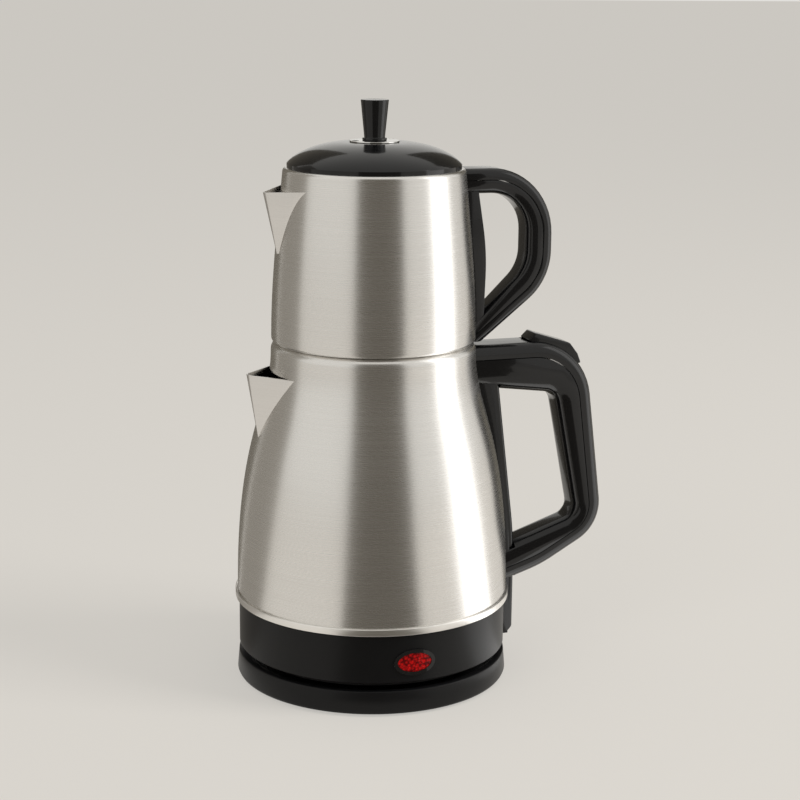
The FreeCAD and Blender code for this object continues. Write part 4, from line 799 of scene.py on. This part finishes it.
# Teapot handle: a C in gloss black of two shells on a black channel, held like the kettle's by two welded
# brackets and two screws.
teapot_grip = cornered_line([(47.3, 295.0), (105.9, 295.0), (105.9, 229.3), (58.3, 191.0)], [38.7, 36.0], 15)
teapot_hole = cornered_line([(47.3, 280.5), (90.3, 280.5), (90.3, 237.7), (58.3, 206.0)], [22.5, 22.5], 15)
teapot_back = cornered_line([(58.8, 289.0), (65.6, 247.0), (64.2, 205.5)], [150.0])
teapot_wall = vessel_cutter(
    [(56.3, 190.0), (56.3, 198.1)] + arc_points(56.3, 200.2, 2.1, -70.0, -10.0, 5)
    + [(x + 0.1, z) for x, z in teapot_side] + arc_points(49.2, 294.0, 2.5, 10.0, 90.0, 8))
teapot_outer = handle_bar("teapot_handle_outer_piece", teapot_grip, teapot_hole, 10.5, 4.5, 6.0)
cut_piece(teapot_outer, teapot_wall, keep=True)
cut_piece(teapot_outer, flat_prism("spine_seat", spine_outline(teapot_back, -0.1, 45.0, 0.1), 8.3))
below_teapot = [(40.0, 150.0), (40.0, 195.3), (130.0, 195.3), (130.0, 150.0)]
cut_piece(teapot_outer, flat_prism("below_teapot", below_teapot, cutter_half))
part_handle(teapot_outer, "teapot_handle_inner_piece", teapot_grip, 6.3, 6.7, "teapot",
            "teapot_handle_outer", "teapot_handle_inner")
teapot_spine = flat_prism("teapot_handle_spine_piece", spine_outline(teapot_back, 0.0, 47.0, 0.0), 8.2)
cut_piece(teapot_spine, teapot_wall)
soften_edges(teapot_spine, 0.5, 2, 40.0)
smooth(teapot_spine)
finish_piece(teapot_spine, spine_black, "teapot", "spine_black", "teapot_handle_spine")
smoothed_copy("teapot_bracket_top", pressed_steel, "teapot", "pressed_steel")
smoothed_copy("teapot_bracket_bottom", pressed_steel, "teapot", "pressed_steel")
smoothed_copy("teapot_handle_screws", zinc, "teapot", "screw_steel")

# Lid: a shallow gloss black dome on a natural plastic skirt, with a polished disc under a tapered knob, a
# steam vent through dome and disc, and one screw and washer that hold the knob from inside.
polished_steel = metal("polished_disc_steel", (0.80, 0.79, 0.77), 0.07, 0.5, 0.002)
dome_outside = curve_points((49.2, 298.6), (46.0, 303.2), (33.0, 310.6), (14.5, 310.6), 28)
dome_inside = curve_points((14.5, 308.4), (31.9, 308.4), (43.8, 302.1), (47.0, 298.6), 24)
lid_dome = turned_piece("lid_dome_piece", (
    [(47.0, 296.4), (49.2, 296.4)] + dome_outside + [(2.05, 310.6), (2.05, 308.4)] + dome_inside
    + [(47.0, 296.4)]), 192)
vent_radius = 2.0
vent_low = (-11.2, 0.0, 300.0)
vent_high = (-11.2, 0.0, 315.0)
cut_piece(lid_dome, round_cutter(vent_radius, vent_low, vent_high))
smooth(lid_dome)
finish_piece(lid_dome, gloss_black, "lid", "gloss_black", "lid_dome")
smoothed_copy("lid_skirt", white_plastic, "lid", "white_plastic")
knob_disc = turned_piece("knob_disc_piece", [
    (2.05, 310.6), (14.0, 310.6), (14.0, 311.4), (2.05, 311.4), (2.05, 310.6)], 128)
soften_edges(knob_disc, 0.25, 3)
cut_piece(knob_disc, round_cutter(vent_radius, vent_low, vent_high))
smooth(knob_disc)
finish_piece(knob_disc, polished_steel, "lid", "polished_steel", "knob_disc")
lid_knob = turned_piece("lid_knob_piece", [
    (2.05, 311.4), (6.9, 311.4), (6.9, 312.9), (5.8, 312.9), (7.9, 334.0), (5.0, 333.75), (0.0, 333.5),
    (0.0, 319.6), (2.05, 319.6), (2.05, 311.4)], 96)
soften_edges(lid_knob, 0.5, 4)
smooth(lid_knob)
finish_piece(lid_knob, gloss_black, "lid", "gloss_black", "lid_knob")
smoothed_copy("knob_screw", zinc, "lid", "screw_steel")
smoothed_copy("knob_washer", zinc, "lid", "screw_steel")
